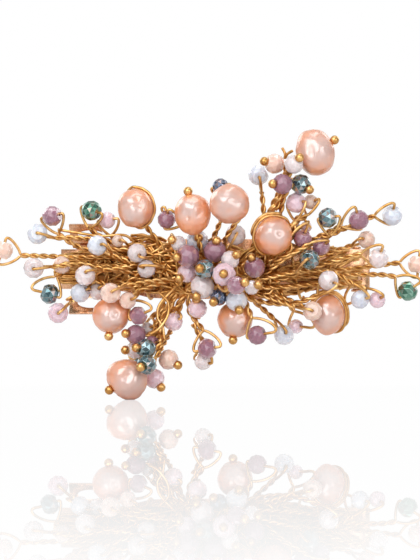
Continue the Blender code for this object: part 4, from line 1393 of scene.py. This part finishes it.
def area_light(name, place, size, power):
    """A softbox that looks at the barrette."""
    light = bpy.data.lights.new(name, "AREA")
    light.shape = "RECTANGLE"
    light.size, light.size_y = size
    light.energy = power
    made = bpy.data.objects.new(name, light)
    made.location = place
    made.rotation_euler = (-Vector(place)).to_track_quat("-Z", "Y").to_euler()
    bpy.context.scene.collection.objects.link(made)


def make_lights():
    """A large key from the upper left, a fill from the right, and weaker ones above and behind."""
    area_light("key", (-0.24, -0.60, 0.36), (0.65, 0.6), 3.5)
    area_light("fill", (0.45, -0.60, 0.02), (0.42, 0.6), 1.9)
    area_light("overhead", (0.05, -0.05, 0.7), (0.5, 0.3), 0.9)
    area_light("back_left", (-0.5, 0.5, 0.35), (0.4, 0.4), 1.0)
    area_light("back_right", (0.5, 0.5, 0.35), (0.4, 0.4), 1.0)


VIEW_CENTRE = Vector((-0.0011, -0.009, -0.0022))


def make_camera(stage):
    """A level camera straight in front of the beads."""
    camera = bpy.data.cameras.new("camera")
    camera.sensor_width = 36.0
    camera.lens = camera.sensor_width * stage.distance / stage.height
    camera.clip_end = 20.0
    made = bpy.data.objects.new("camera", camera)
    made.location = VIEW_CENTRE - Vector((0, stage.distance, 0))
    made.rotation_euler = (math.pi / 2, 0, 0)
    bpy.context.scene.collection.objects.link(made)
    bpy.context.scene.camera = made


class BARRETTE_PT_panel(bpy.types.Panel):
    """The barrette's settings, and a button for each group of its pieces"""

    bl_idname = "BARRETTE_PT_panel"
    bl_label = "Barrette"
    bl_space_type = "VIEW_3D"
    bl_region_type = "UI"
    bl_category = "Barrette"

    def draw(self, context):
        given = context.scene.barrette
        for group in (given.wire, given.beads, given.colours, given.stage):
            for name in type(group).__annotations__:
                self.layout.prop(group, name)
        for operator in OPERATORS:
            self.layout.operator(operator.bl_idname)


OPERATORS = (
    BARRETTE_OT_clip,
    BARRETTE_OT_beads,
    BARRETTE_OT_pearls,
    BARRETTE_OT_wires,
    BARRETTE_OT_tangle,
    BARRETTE_OT_stage,
)
CLASSES = (
    WireSettings,
    BeadSettings,
    ColourSettings,
    StageSettings,
    BarretteSettings,
    *OPERATORS,
    BARRETTE_PT_panel,
)


def register():
    for cls in CLASSES:
        bpy.utils.register_class(cls)
    bpy.types.Scene.barrette = PointerProperty(type=BarretteSettings)


def unregister():
    del bpy.types.Scene.barrette
    for cls in reversed(CLASSES):
        bpy.utils.unregister_class(cls)


def main():
    """Makes the whole barrette and its stage."""
    register()
    bpy.context.scene.view_settings.view_transform = "Standard"
    bpy.ops.barrette.clip()
    bpy.ops.barrette.beads()
    bpy.ops.barrette.pearls()
    bpy.ops.barrette.wires()
    bpy.ops.barrette.tangle()
    bpy.ops.barrette.stage()


if __name__ == "__main__":
    main()
